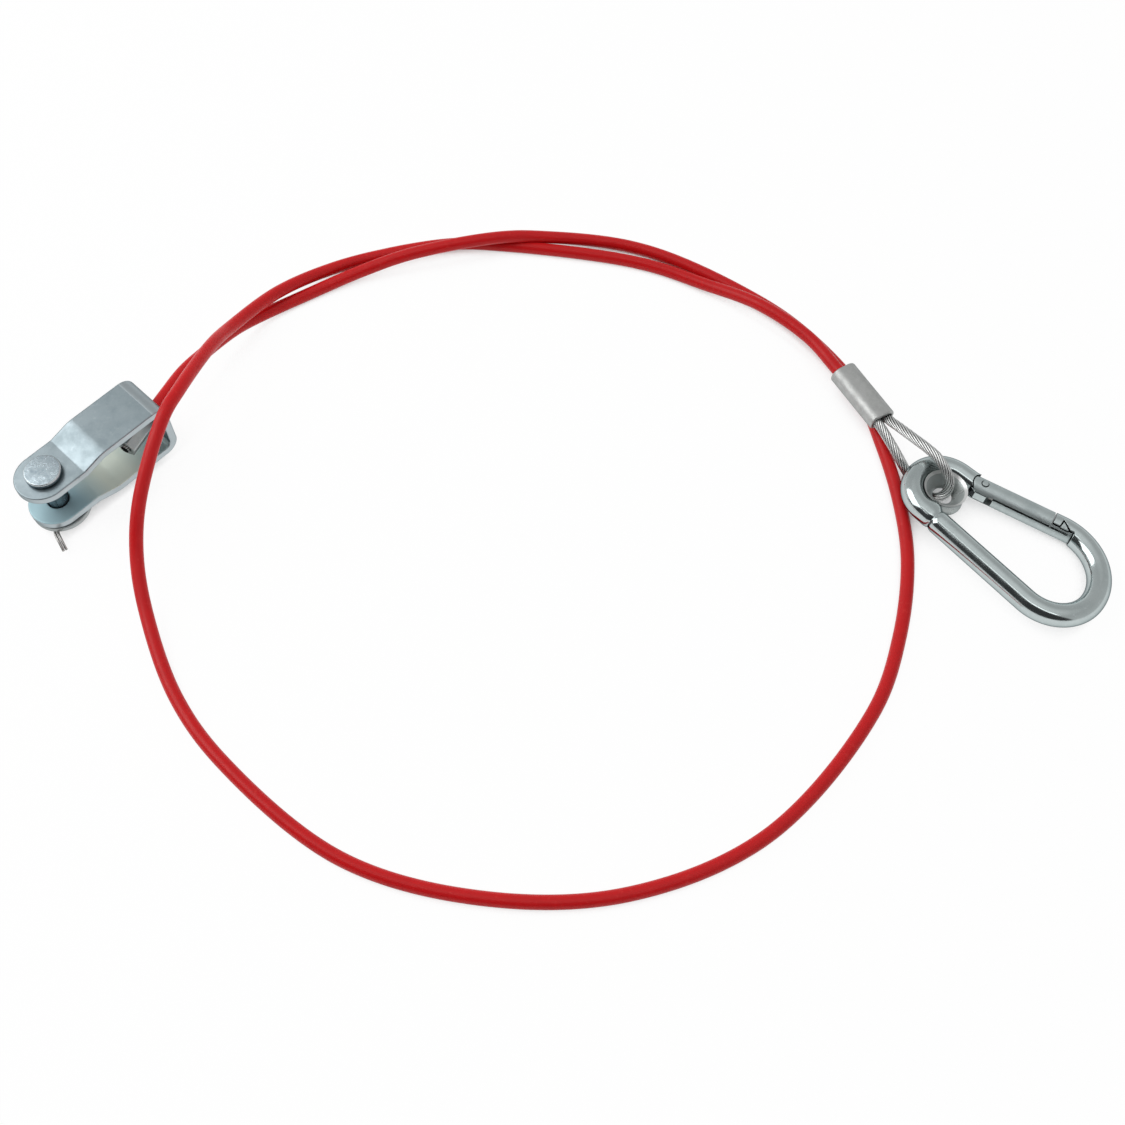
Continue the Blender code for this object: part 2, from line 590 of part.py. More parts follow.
def build():
    clear_scene()
    zinc = finish("zinc_plate", (0.62, 0.65, 0.66), 0.32, 1)
    bright_zinc = finish("bright_zinc_plate", (0.72, 0.74, 0.75), 0.14, 1)
    steel = finish("dull_steel", (0.38, 0.37, 0.36), 0.45, 1)
    spring_steel = finish("spring_steel", (0.3, 0.3, 0.31), 0.35, 1)
    wire_rope = finish("galvanised_rope", (0.66, 0.67, 0.67), 0.3, 1)
    aluminium = finish("pressed_aluminium", (0.7, 0.71, 0.72), 0.42, 1)
    red_coat = finish("red_coat", (0.55, 0.015, 0.02), 0.35, 0)

    fork_frame = frame_at("fork_frame", FORK_AT, FORK_HEADING)
    fork(fork_frame, zinc)
    fork_pin(fork_frame, zinc)
    fork_washer(fork_frame, zinc)
    split_pin(fork_frame, steel)
    web_middle = (FORK_LENGTH - STRAP_T / 2, 0, 0)
    end_frame = frame_at("cable_end_frame", web_middle, STOP_LEAN, parent=fork_frame)
    cable_end(end_frame, zinc, wire_rope)

    ferrule_frame = frame_at("ferrule_frame", FERRULE_AT, FERRULE_HEADING)
    cable(end_frame, ferrule_frame, red_coat)
    ferrule(ferrule_frame, aluminium)
    eye_rope(ferrule_frame, wire_rope)

    hook_frame = frame_at("hook_frame", HOOK_AT, HOOK_HEADING, HOOK_PITCH, HOOK_ROLL)
    gate_frame = frame_at("gate_frame", (PIVOT_X, PIVOT_Y, 0), GATE_ANGLE, parent=hook_frame)
    hook_body(hook_frame, gate_frame, bright_zinc)
    hook_eyelet(hook_frame, bright_zinc)
    hook_gate(gate_frame, bright_zinc)
    gate_rivet(gate_frame, steel)
    gate_plunger(gate_frame, steel)
    gate_spring(gate_frame, spring_steel)


build()
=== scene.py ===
"""The looks of a trailer breakaway cable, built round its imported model.

A plated fork with its pin, a red coated wire rope in a loose coil, a pressed ferrule and a
snap hook. Shapes are made in millimetres in each piece's own frame, then placed in metres.
"""

import math
from types import SimpleNamespace

import bmesh
import bpy
from bpy.props import FloatProperty, FloatVectorProperty, IntProperty, PointerProperty
from mathutils import Euler, Matrix, Vector
from mathutils.kdtree import KDTree


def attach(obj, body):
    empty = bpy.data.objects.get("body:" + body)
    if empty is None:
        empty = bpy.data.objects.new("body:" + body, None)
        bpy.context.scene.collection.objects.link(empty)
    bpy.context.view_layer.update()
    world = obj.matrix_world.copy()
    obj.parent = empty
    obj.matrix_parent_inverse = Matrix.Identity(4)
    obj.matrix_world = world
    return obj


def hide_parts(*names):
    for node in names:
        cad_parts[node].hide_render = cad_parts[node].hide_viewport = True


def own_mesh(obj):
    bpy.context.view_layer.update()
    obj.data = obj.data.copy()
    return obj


bl_info = {
    "name": "Breakaway cable looks",
    "version": (1, 0, 0),
    "blender": (4, 5, 0),
    "location": "3D View > Sidebar > Cable",
    "description": "Builds the visible pieces of a breakaway cable round its packed model",
    "category": "Object",
}

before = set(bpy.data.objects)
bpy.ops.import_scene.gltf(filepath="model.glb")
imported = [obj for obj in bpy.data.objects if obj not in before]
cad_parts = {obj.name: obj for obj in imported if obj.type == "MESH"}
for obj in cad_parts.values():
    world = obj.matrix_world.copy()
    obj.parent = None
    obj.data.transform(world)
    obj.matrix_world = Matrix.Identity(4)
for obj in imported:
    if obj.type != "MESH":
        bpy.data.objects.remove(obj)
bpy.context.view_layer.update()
MM = 0.001
GAP = 0.3  # between two pieces that touch on the real object, in millimetres
PIN_PLAY = 0.25  # a pin in its hole, on the radius, in millimetres
IN_METRES = Matrix.Scale(1 / MM, 4)  # for a mesh that is in metres already
AXIS_TURNS = {
    "X": ((0, 0, 1), (1, 0, 0), (0, 1, 0)), "Y": ((1, 0, 0), (0, 0, 1), (0, 1, 0)),
    "Z": ((1, 0, 0), (0, 1, 0), (0, 0, 1)),
}

# The cable's route in millimetres, from the fork round to the ferrule
ROUTE = [
    (-116.5, 38.4, 11.5), (-112.8, 45, 10), (-103.8, 58.6, 6.5), (-97, 66.4, 3.6), (-81.8, 76.9, 2.2),
    (-66, 84.7, 3.6), (-49.5, 90.1, 6), (-22, 96.3, 6.7), (-7, 99.1, 4), (26, 95.5, 2), (64.5, 72.8, 2),
    (80.5, 56.7, 2), (92.5, 37.7, 2), (97.5, 18.7, 2), (100.7, -2, 2), (101, -22, 2), (95.9, -47.2, 2),
    (85.7, -71.1, 2), (54, -106.3, 2), (17, -121.8, 2), (-21, -122.8, 2), (-58.2, -112.4, 2),
    (-92.4, -85.3, 2), (-107.6, -66, 2.3), (-117.6, -43.5, 5.5), (-121.4, -27.5, 11.5), (-120.6, -13.5, 20),
    (-114.5, 9, 29.8), (-111.4, 19.2, 29), (-106.4, 41.1, 21), (-103, 53.8, 14), (-91, 73.8, 6.8),
    (-76.8, 85.4, 3.4), (-61.5, 92.3, 2.1), (-37, 97.7, 2), (-22, 97.4, 2), (25.5, 89.5, 2),
    (46.5, 79.6, 3.2), (63.1, 68, 7.2), (77.3, 55.1, 7.4),
]

# The rope's eye round the eyelet: heading in degrees, distance and height in millimetres
EYE_ROUTE = [
    (116.9, 24.2, 2.45), (115.2, 18.5, 4.35), (110.8, 13.2, 5.65), (103.5, 9, 6.05), (93, 5.7, 5.35),
    (69.5, 3.5, 3.25), (45.3, 2.3, 0.65), (35.4, 0.8, -1.65), (166.3, 1.6, -3.25), (148.1, 4.9, -4.55),
    (137.4, 8.7, -5), (131.2, 12.8, -4.75), (129.8, 16.9, -2.45), (127.3, 21.4, -1),
]


# Properties


def length(name, size_mm, about):
    return FloatProperty(name=name, description=about, default=size_mm * MM, unit="LENGTH", precision=5)


def angle(name, degrees, about):
    return FloatProperty(name=name, description=about, default=math.radians(degrees), unit="ROTATION")


def spot(name, place_mm, about):
    place = [value * MM for value in place_mm]
    return FloatVectorProperty(name=name, description=about, default=place, unit="LENGTH", subtype="TRANSLATION")


def colour(name, value, about):
    return FloatVectorProperty(name=name, description=about, default=value, subtype="COLOR", min=0, max=1)


class CableSizes(bpy.types.PropertyGroup):
    coat_radius: length("Coat radius", 2.0, "Outside of the red coat")
    rope_radius: length("Rope radius", 1.5, "Outside of the bare wire rope")
    lay: length("Lay", 24.0, "Length in which a wire goes once round the rope")
    wires: IntProperty(name="Wires", description="Wires seen round the rope", default=12, min=6)
    sides: IntProperty(name="Sides", description="Faces round the red coat", default=28, min=8)


class ForkSizes(bpy.types.PropertyGroup):
    width: length("Strap width", 16.3, "Width of the strap")
    thick: length("Strap thickness", 2.5, "Thickness of the strap")
    ear_gap: length("Ear gap", 11.1, "Clear space between the ears")
    ear_tip: length("Ear tip", 0.8, "From the pin to the middle of the ear's round end")
    ear_step: length("Ear step", 2.1, "How far an ear is set in from its arm")
    step_near: length("Near bend", 8.6, "From the pin to the set's first bend")
    near_bend: length("Near bend radius", 3.0, "Radius of the set's first bend")
    step_far: length("Far bend", 15.4, "From the pin to the set's second bend")
    far_bend: length("Far bend radius", 10.0, "Radius of the set's second bend")
    long: length("Length", 38.2, "From the pin to the back of the web")
    web_bend: length("Web bend", 4.5, "Outer radius at the web")
    edge: length("Edge", 0.4, "Rounding of the strap's edges")
    place: spot("Place", (-148.7, -4.9, 13.5), "Middle of the pin, between the ears")
    heading: angle("Heading", 46.6, "Turn about the vertical")


class PinSizes(bpy.types.PropertyGroup):
    radius: length("Pin radius", 3.0, "Radius of the pin's shank")
    head_radius: length("Head radius", 5.4, "Radius of the pin's head")
    head_height: length("Head height", 1.8, "Height of the pin's head")
    tail: length("Tail", 3.4, "From the washer to the pin's end")
    washer_radius: length("Washer radius", 8.8, "Outside of the washer")
    washer_thick: length("Washer thickness", 1.6, "Thickness of the washer")
    wire: length("Split pin wire", 0.4, "Radius of one leg")
    spread: length("Leg spread", 0.9, "Between the middles of both legs")
    leg: length("Leg", 8.0, "From the pin's axis to the legs' bend")
    tip: length("Tip", 7.4, "From the bend to the legs' ends")
    bend: angle("Leg bend", 39.0, "How far the legs are bent")
    bend_radius: length("Bend radius", 5.0, "Radius of the legs' bend")
    eye: length("Split pin eye", 1.5, "Middle of the wire round the split pin's eye")
    turn: angle("Split pin turn", -144.5, "Way the split pin points, in the fork's frame")


class EndSizes(bpy.types.PropertyGroup):
    stop_radius: length("Stop radius", 3.35, "From the middle to the corners of the six-sided stop")
    stop_long: length("Stop length", 11.4, "Length of the stop")
    lean: angle("Lean", 18.0, "How far the cable's end leans in its hole")
    rope_end: length("Rope end", 0.6, "Bare rope that stands out of a stop or ferrule")
    ferrule_width: length("Ferrule width", 8.8, "Width of the pressed oval")
    ferrule_height: length("Ferrule height", 6.0, "Height of the pressed oval")
    ferrule_long: length("Ferrule length", 21.2, "Length of the ferrule")
    ferrule_edge: length("Ferrule edge", 0.55, "Rounding of its ends")
    leg_spread: length("Rope legs", 3.5, "Between the middles of both legs in the ferrule")
    ferrule_place: spot("Ferrule place", (92.1, 32.6, 7.4), "Middle of the ferrule")
    ferrule_heading: angle("Ferrule heading", -60.3, "Turn about the vertical")


class HookSizes(bpy.types.PropertyGroup):
    wire: length("Hook wire", 3.5, "Radius of the hook's wire")
    eye: length("Hook eye", 9.4, "Middle of the wire round the eyelet")
    far: length("Hook length", 52.4, "From the eyelet to the middle of the wire at the wide end")
    spine_bend: length("Spine bend", 13.0, "The wide end's bend into the spine")
    gate_bend: length("Gate bend", 16.6, "The wide end's bend into the nose")
    eyelet_wall: length("Eyelet wall", 0.7, "Thickness of the eyelet")
    eyelet_half: length("Eyelet half height", 2.6, "From the eyelet's waist to a rim")
    throat: length("Throat", 2.9, "Radius of the eyelet's narrowest place")
    waist: length("Waist", -1.6, "Height of the eyelet's narrowest place")
    place: spot("Place", (112.9, -2.25, 6.8), "Middle of the eyelet")
    heading: angle("Heading", -43.55, "Turn about the vertical")
    pitch: angle("Pitch", 2.3, "The wide end lies lower")
    roll: angle("Roll", -6.0, "The gate's side lies lower")


class GateSizes(bpy.types.PropertyGroup):
    radius: length("Gate radius", 3.4, "Radius of the gate's bar")
    turn: angle("Gate angle", 15.0, "From the hook's length")
    pivot: length("Pivot", 7.4, "Along the hook, from the eyelet")
    heel: length("Heel", 3.4, "Round end behind the pivot")
    main: length("Gate length", 21.9, "From the pivot to the latch's step")
    lip: length("Lip", 6.6, "The lip that reaches past the step")
    lip_edge: length("Lip edge", -2.3, "The lip's upper edge, from the gate's middle line")
    tooth_at: length("Tooth place", 3.1, "From the step to the tooth")
    tooth_long: length("Tooth length", 2.5, "Length of the tooth")
    tooth_rise: length("Tooth rise", 2.0, "Height of the tooth")
    latch_gap: length("Latch gap", 0.42, "Between the latch and the hook's nose")
    slot: length("Slot", 3.4, "Width of the slot for the tongue")
    slot_end: length("Slot end", 4.0, "End of the slot that goes right through")
    seam: length("Seam", 0.6, "Width of the seam along the rolled gate")
    seam_turn: angle("Seam turn", 30.0, "From the gate's inner side, upwards")
    seam_end: length("Seam end", 27.6, "From the pivot to the end of the seam")
    bore_end: length("Bore end", 20.8, "End of the spring's bore")
    tongue_thick: length("Tongue thickness", 2.8, "The hook's flat tongue on the rivet")
    tongue_nose: length("Tongue nose", 2.2, "From the pivot to the face that the plunger meets")
    tongue_half: length("Tongue half width", 3.05, "Half the tongue's width")
    tongue_root: length("Tongue root", 3.0, "From the pivot to the end of the round wire")
    rivet: length("Rivet radius", 0.95, "Radius of the rivet")
    rivet_dome: length("Rivet dome", 0.2, "How far the rivet stands out")
    plunger: length("Plunger radius", 1.35, "Radius of the plunger")
    plunger_long: length("Plunger length", 5.6, "Length of the plunger")
    spring_line: length("Spring line", -0.3, "The spring's axis, from the gate's middle line")
    coil: length("Coil radius", 1.1, "Middle of the spring's wire")
    coil_wire: length("Spring wire", 0.25, "Radius of the spring's wire")
    slide: length("Slide", 1.25, "How far the plunger slides back")
    coils: IntProperty(name="Coils", description="Turns of the spring", default=10, min=3)


class FinishColours(bpy.types.PropertyGroup):
    red: colour("Red coat", (0.60, 0.008, 0.010), "The cable's coat")
    red_deep: colour("Deep red", (0.50, 0.005, 0.008), "Darker patches of the coat")
    red_scuff: colour("Scuffed red", (0.68, 0.04, 0.035), "Worn spots of the coat")
    zinc: colour("Zinc", (0.31, 0.365, 0.39), "Plating of the fork")
    zinc_dark: colour("Dark zinc", (0.22, 0.27, 0.29), "Grey patches of the plating")
    # Also the colour of painted highlights on edges and rims.
    zinc_bright: colour("Bright zinc", (0.64, 0.70, 0.72), "Painted edge highlights and flecks")
    pin: colour("Pin zinc", (0.37, 0.43, 0.46), "Plating of the pin")
    pin_dark: colour("Dark pin zinc", (0.22, 0.27, 0.30), "Dark patches on the pin")
    blue_film: colour("Blue film", (0.44, 0.64, 0.70), "Thin film on the plating near the pin")
    pale_film: colour("Pale film", (0.78, 0.85, 0.74), "Thin film on the plating half-way")
    # Painted shade darkens this film colour near the web.
    shaded_green_film: colour("Shaded green film", (0.34, 0.46, 0.46), "Thin film and painted shade on the plating near the web")
    stop: colour("Dull zinc", (0.46, 0.49, 0.48), "The stop inside the fork")
    mirror: colour("Bright plating", (0.53, 0.59, 0.59), "Plating of the snap hook")
    mirror_dark: colour("Dull plating", (0.43, 0.49, 0.49), "Rubbed places on the snap hook")
    steel: colour("Drawn steel", (0.56, 0.55, 0.53), "Split pin, rivet and plunger")
    steel_dark: colour("Dark steel", (0.34, 0.335, 0.325), "Dark places on drawn steel")
    rope: colour("Rope", (0.80, 0.81, 0.80), "Wires of the rope")
    rope_dark: colour("Dull rope", (0.60, 0.61, 0.60), "Dull wires of the rope")
    # Painted shade in the gaps between the rope's wires.
    rope_gap_shade: colour("Rope gaps", (0.05, 0.05, 0.05), "Lines between the wires of the rope")
    alloy: colour("Aluminium", (0.53, 0.54, 0.53), "The pressed ferrule")
    alloy_dark: colour("Grey aluminium", (0.42, 0.43, 0.42), "Grey places on the ferrule")


class StageSettings(bpy.types.PropertyGroup):
    eye: spot("Camera", (0, -232.9, 380.4), "Where the camera stands")
    target: spot("Target", (0, -22, 0), "Where the camera looks")
    lens: FloatProperty(name="Lens", description="Focal length", default=47.36, subtype="DISTANCE_CAMERA")
    key: FloatProperty(name="Key light", description="Strength of the key light", default=4.8, unit="POWER")


GROUPS = {
    "cable_sizes": CableSizes, "fork_sizes": ForkSizes, "pin_sizes": PinSizes, "end_sizes": EndSizes,
    "hook_sizes": HookSizes, "gate_sizes": GateSizes, "finish_colours": FinishColours,
    "stage_settings": StageSettings,
}


def sizes(context, *names):
    """The values of each named group, with every length in millimetres."""
    found = []
    for name in names:
        group = getattr(context.scene, name)
        values = {}
        for key in GROUPS[name].__annotations__:
            value = getattr(group, key)
            value = Vector(value) if hasattr(value, "__len__") else value
            values[key] = value / MM if group.bl_rna.properties[key].unit == "LENGTH" else value
        found.append(SimpleNamespace(**values))
    return found


# Lines and outlines, in millimetres


def frame_matrix(place, heading=0.0, pitch=0.0, roll=0.0):
    return Matrix.Translation(place) @ Euler((roll, pitch, heading)).to_matrix().to_4x4()


def fork_frame(fork):
    return frame_matrix(fork.place, fork.heading)


def cable_end_frame(fork, end):
    return fork_frame(fork) @ frame_matrix((fork.long - fork.thick / 2, 0, 0), end.lean)


def ferrule_frame(end):
    return frame_matrix(end.ferrule_place, end.ferrule_heading)


def hook_frame(hook):
    return frame_matrix(hook.place, hook.heading, hook.pitch, hook.roll)


def pivot_of(hook, gate):
    """The gate's pivot, in the hook's frame."""
    nose = hook.far - hook.gate_bend * (1 + math.sin(gate.turn))
    return Vector((gate.pivot, hook.gate_bend * math.cos(gate.turn) - (nose - gate.pivot) * math.tan(gate.turn)))


def gate_local(hook, gate):
    return frame_matrix((*pivot_of(hook, gate), 0), gate.turn)


def arc(centre, radius, start, end, steps):
    """Points on an arc, angles in degrees."""
    turns = [math.radians(start + (end - start) * i / steps) for i in range(steps + 1)]
    return [(centre[0] + radius * math.cos(t), centre[1] + radius * math.sin(t)) for t in turns]


def circle(radius, steps, centre=(0, 0)):
    return arc(centre, radius, 0, 360, steps)[:-1]


def bend_at(before, corner, after, radius, steps):
    """Points of the arc that takes the place of a corner."""
    here = Vector(corner)
    back = (Vector(before) - here).normalized()
    ahead = (Vector(after) - here).normalized()
    half = back.angle(ahead) / 2
    reach = radius / math.tan(half)
    middle = here + (back + ahead).normalized() * radius / math.sin(half)
    first = here + back * reach - middle
    last = here + ahead * reach - middle
    return [tuple(middle + first.slerp(last, i / steps).normalized() * radius) for i in range(steps + 1)]


def rounded(corners, steps, closed=False):
    """A line of (x, y, bend radius) with each bend made an arc."""
    line = []
    for i, (x, y, radius) in enumerate(corners):
        inner = closed or 0 < i < len(corners) - 1
        if not inner or radius == 0:
            line.append((x, y))
            continue
        before = corners[i - 1][:2]
        after = corners[(i + 1) % len(corners)][:2]
        line.extend(bend_at(before, (x, y), after, radius, steps))
    return line


def offset(line, distance):
    """The line moved sideways to its left, with square corners kept."""
    moved = []
    for i, point in enumerate(line):
        here = Vector(point)
        legs = []
        if i > 0:
            legs.append((here - Vector(line[i - 1])).normalized())
        if i < len(line) - 1:
            legs.append((Vector(line[i + 1]) - here).normalized())
        sides = [Vector((-leg.y, leg.x)) for leg in legs]
        middle = (sides[0] + sides[-1]).normalized()
        moved.append(tuple(here + middle * distance / middle.dot(sides[0])))
    return moved


def smooth_line(points, step, floor):
    """Evenly spaced points on a smooth curve through the given ones, none of them below the floor."""
    knots = [Vector(p) for p in points]
    knots = [2 * knots[0] - knots[1], *knots, 2 * knots[-1] - knots[-2]]
    fine = []
    parts = 20
    for p0, p1, p2, p3 in zip(knots, knots[1:], knots[2:], knots[3:]):
        t1 = math.sqrt((p1 - p0).length)
        t2 = t1 + math.sqrt((p2 - p1).length)
        t3 = t2 + math.sqrt((p3 - p2).length)
        for i in range(parts):
            t = t1 + (t2 - t1) * i / parts
            a1 = p0.lerp(p1, t / t1)
            a2 = p1.lerp(p2, (t - t1) / (t2 - t1))
            a3 = p2.lerp(p3, (t - t2) / (t3 - t2))
            b1 = a1.lerp(a2, t / t2)
            b2 = a2.lerp(a3, (t - t1) / (t3 - t1))
            fine.append(b1.lerp(b2, (t - t1) / (t2 - t1)))
    fine.append(knots[-2])
    for point in fine:
        point.z = max(point.z, floor)
    return even_line(fine, step)


def length_of(line):
    return sum((b - a).length for a, b in zip(line, line[1:]))


def even_line(fine, step):
    """The same line with evenly spaced points."""
    total = length_of(fine)
    count = round(total / step)
    line = [fine[0]]
    walked = 0
    for a, b in zip(fine, fine[1:]):
        span = (b - a).length
        while len(line) < count and walked + span >= total * len(line) / count:
            line.append(a.lerp(b, (total * len(line) / count - walked) / span))
        walked += span
    line.append(fine[-1])
    return line


def stadium(width, height, steps):
    """A flat-sided oval."""
    centre = (width - height) / 2
    return arc((centre, 0), height / 2, -90, 90, steps) + arc((-centre, 0), height / 2, 90, 270, steps)


# Meshes, in millimetres


def mesh_of(name, bm):
    bmesh.ops.recalc_face_normals(bm, faces=bm.faces)
    mesh = bpy.data.meshes.new(name)
    bm.to_mesh(mesh)
    bm.free()
    mesh.shade_smooth()
    return mesh


def prism(outline, low, high, axis="Z"):
    """An outline extruded from low to high. Along "Z" it lies in XY, along "X" in YZ, along "Y" in XZ."""
    turn = Matrix(AXIS_TURNS[axis])
    bm = bmesh.new()
    base = bm.faces.new([bm.verts.new(turn @ Vector((u, v, low))) for u, v in outline])
    grown = bmesh.ops.extrude_face_region(bm, geom=[base])
    risen = [item for item in grown["geom"] if isinstance(item, bmesh.types.BMVert)]
    bmesh.ops.translate(bm, vec=turn @ Vector((0, 0, high - low)), verts=risen)
    return mesh_of("prism", bm)


def turned(profile, steps, axis="Z"):
    """A closed profile of (radius, height) spun a full turn."""
    bm = bmesh.new()
    spin_axis = Vector((0, 0, 1)) if axis == "Z" else Vector((1, 0, 0))
    corners = [Vector((r, 0, h)) if axis == "Z" else Vector((h, 0, r)) for r, h in profile]
    ring = [bm.verts.new(corner) for corner in corners]
    edges = [bm.edges.new((ring[i - 1], ring[i])) for i in range(len(ring))]
    bmesh.ops.spin(
        bm, geom=ring + edges, cent=(0, 0, 0), axis=spin_axis, angle=math.tau, steps=steps, use_merge=True
    )
    bmesh.ops.remove_doubles(bm, verts=bm.verts, dist=1e-4)
    return mesh_of("turned", bm)


def rod(radius, low, high, edge, steps=4):
    """A solid round bar's profile, with both end edges rounded."""
    corners = [(0, low, 0), (radius, low, edge), (radius, high, edge), (0, high, 0)]
    return rounded(corners, steps, closed=True)


def skin_rings(bm, rings):
    """Faces from each ring to the next, and over both ends."""
    for ring, ahead in zip(rings, rings[1:]):
        for k in range(len(ring)):
            bm.faces.new((ring[k - 1], ring[k], ahead[k], ahead[k - 1]))
    bm.faces.new(rings[0])
    bm.faces.new(rings[-1])


def wire(line, radius, sides, swell=None):
    """A round wire that follows a flat line in XY. A swell gives each point of its skin a new radius."""
    bm = bmesh.new()
    rings = []
    for i, point in enumerate(line):
        here = Vector(point)
        ahead = (Vector(line[min(i + 1, len(line) - 1)]) - Vector(line[max(i - 1, 0)])).normalized()
        side = Vector((-ahead.y, ahead.x, 0))
        ring = []
        for k in range(sides):
            turn = math.tau * k / sides
            across = math.cos(turn)
            reach = radius if swell is None else radius + swell(i, across)
            spoke = side * across + Vector((0, 0, 1)) * math.sin(turn)
            ring.append(bm.verts.new(Vector((here.x, here.y, 0)) + spoke * reach))
        rings.append(ring)
    skin_rings(bm, rings)
    return mesh_of("wire", bm)


def loose_object(name, mesh):
    obj = bpy.data.objects.new(name, mesh)
    bpy.context.scene.collection.objects.link(obj)
    return obj


def plain_mesh(obj):
    """The object's mesh as its modifiers leave it."""
    graph = bpy.context.evaluated_depsgraph_get()
    graph.update()
    return bpy.data.meshes.new_from_object(obj.evaluated_get(graph), depsgraph=graph)


def carve(mesh, cuts, edge):
    """The mesh after its Boolean cuts, each (operation, solid), with the edges rounded."""
    obj = loose_object("work", mesh)
    tools = []
    for operation, solid in cuts:
        tool = loose_object("tool", solid)
        tools.append(tool)
        step = obj.modifiers.new("cut", "BOOLEAN")
        step.operation = operation
        step.solver = "EXACT"
        step.object = tool
    bevel = obj.modifiers.new("edge", "BEVEL")
    bevel.width = edge
    bevel.segments = 3
    bevel.limit_method = "ANGLE"
    bevel.angle_limit = math.radians(38)
    bevel.use_clamp_overlap = False
    bevel.harden_normals = True
    shading = obj.modifiers.new("shading", "WEIGHTED_NORMAL")
    shading.keep_sharp = True
    result = plain_mesh(obj)
    for item in [obj, *tools]:
        old = item.data
        bpy.data.objects.remove(item)
        bpy.data.meshes.remove(old)
    return result


def mark(mesh, name, value_of):
    """Gives each face a value that a material reads."""
    layer = mesh.attributes.new(name, "FLOAT", "FACE")
    for face in mesh.polygons:
        layer.data[face.index].value = value_of(face)


def mark_cut_shade(mesh, depth):
    """Marks for painted shade the upright faces that lie below a bar's skin, depth giving how far below a point
    is.
    """
    mark(mesh, "cut", lambda face: float(depth(face.center) > 0.3 and abs(face.normal.z) < 0.6))


def show(name, mesh, matrix, body, node, material):
    """Places a finished mesh in the row frame, in metres, on its body and over its solid."""
    mesh.transform(Matrix.Scale(MM, 4) @ matrix)
    mesh.materials.clear()
    mesh.materials.append(material)
    mesh.name = name
    obj = loose_object(name, mesh)
    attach(obj, body)
    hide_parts(node)
    return obj


# Node trees


def add(tree, kind, links=(), **settings):
    """A node with its settings, and its inputs linked or set."""
    node = tree.nodes.new(kind)
    for key, value in settings.items():
        setattr(node, key, value)
    for key, value in dict(links).items():
        if isinstance(value, bpy.types.NodeSocket):
            tree.links.new(value, node.inputs[key])
        else:
            node.inputs[key].default_value = value
    return node


def math_node(tree, operation, *values):
    return add(tree, "ShaderNodeMath", enumerate(values), operation=operation).outputs[0]


def vector_node(tree, operation, *values):
    return add(tree, "ShaderNodeVectorMath", enumerate(values), operation=operation).outputs[0]


def new_group(name, kind, inputs, outputs):
    """An empty node group with its sockets, and its input and output nodes."""
    tree = bpy.data.node_groups.new(name, kind)
    for way, sockets in (("INPUT", inputs), ("OUTPUT", outputs)):
        for socket_name, socket_type in sockets.items():
            tree.interface.new_socket(socket_name, in_out=way, socket_type="NodeSocket" + socket_type)
    return tree, tree.nodes.new("NodeGroupInput").outputs, tree.nodes.new("NodeGroupOutput").inputs


def once(name, make):
    """A node group that is built the first time it is asked for."""
    return bpy.data.node_groups.get(name) or make()


# Geometry Nodes


def path_object(name, line):
    """A poly curve in metres through points in millimetres."""
    curve = bpy.data.curves.new(name, "CURVE")
    curve.dimensions = "3D"
    spline = curve.splines.new("POLY")
    spline.points.add(len(line) - 1)
    for knot, point in zip(spline.points, line):
        knot.co = (*(Vector(point) * MM), 1)
    return loose_object(name, curve)


def grown_mesh(name, obj, tree, values):
    """What a Geometry Nodes tree makes of an object, as a plain mesh. The object goes."""
    step = obj.modifiers.new(name, "NODES")
    step.node_group = tree
    by_name = {item.name: item.identifier for item in tree.interface.items_tree if item.in_out == "INPUT"}
    for key, value in values.items():
        step[by_name[key]] = value
    mesh = plain_mesh(obj)
    data = obj.data
    bpy.data.objects.remove(obj)
    kept_in = bpy.data.curves if isinstance(data, bpy.types.Curve) else bpy.data.meshes
    kept_in.remove(data)
    mesh.name = name
    return mesh


def along_spline(tree, measure):
    return add(tree, "GeometryNodeSplineParameter").outputs[measure]


def stored(tree, geometry, name, value):
    """Geometry whose points carry a named value."""
    return add(
        tree, "GeometryNodeStoreNamedAttribute", {"Geometry": geometry, "Name": name, "Value": value},
        domain="POINT", data_type="FLOAT",
    ).outputs[0]


def round_profile(tree, radius, sides):
    return add(tree, "GeometryNodeCurvePrimitiveCircle", {"Resolution": sides, "Radius": radius}).outputs["Curve"]


def swept(tree, curve, profile):
    """A profile drawn along a curve, with closed ends."""
    return add(
        tree, "GeometryNodeCurveToMesh", {"Curve": curve, "Profile Curve": profile, "Fill Caps": True}
    ).outputs[0]


def end_tree(tree, geometry, given, made):
    """Ends a tree with smooth shading, real geometry and the given material."""
    smooth = add(tree, "GeometryNodeSetShadeSmooth", {"Geometry": geometry}).outputs[0]
    whole = add(tree, "GeometryNodeRealizeInstances", {"Geometry": smooth}).outputs[0]
    painted = add(tree, "GeometryNodeSetMaterial", {"Geometry": whole, "Material": given["Material"]})
    tree.links.new(painted.outputs[0], made[0])
    return tree


def coated_cable_tree():
    """A round coat along a path, with how far along and round it each point is."""
    tree, given, made = new_group(
        "Coated cable", "GeometryNodeTree",
        {"Path": "Geometry", "Radius": "Float", "Sides": "Int", "Material": "Material"}, {"Coat": "Geometry"},
    )
    path = stored(tree, given["Path"], "along", along_spline(tree, "Length"))
    profile = round_profile(tree, given["Radius"], given["Sides"])
    profile = stored(tree, profile, "around", along_spline(tree, "Factor"))
    return end_tree(tree, swept(tree, path, profile), given, made)


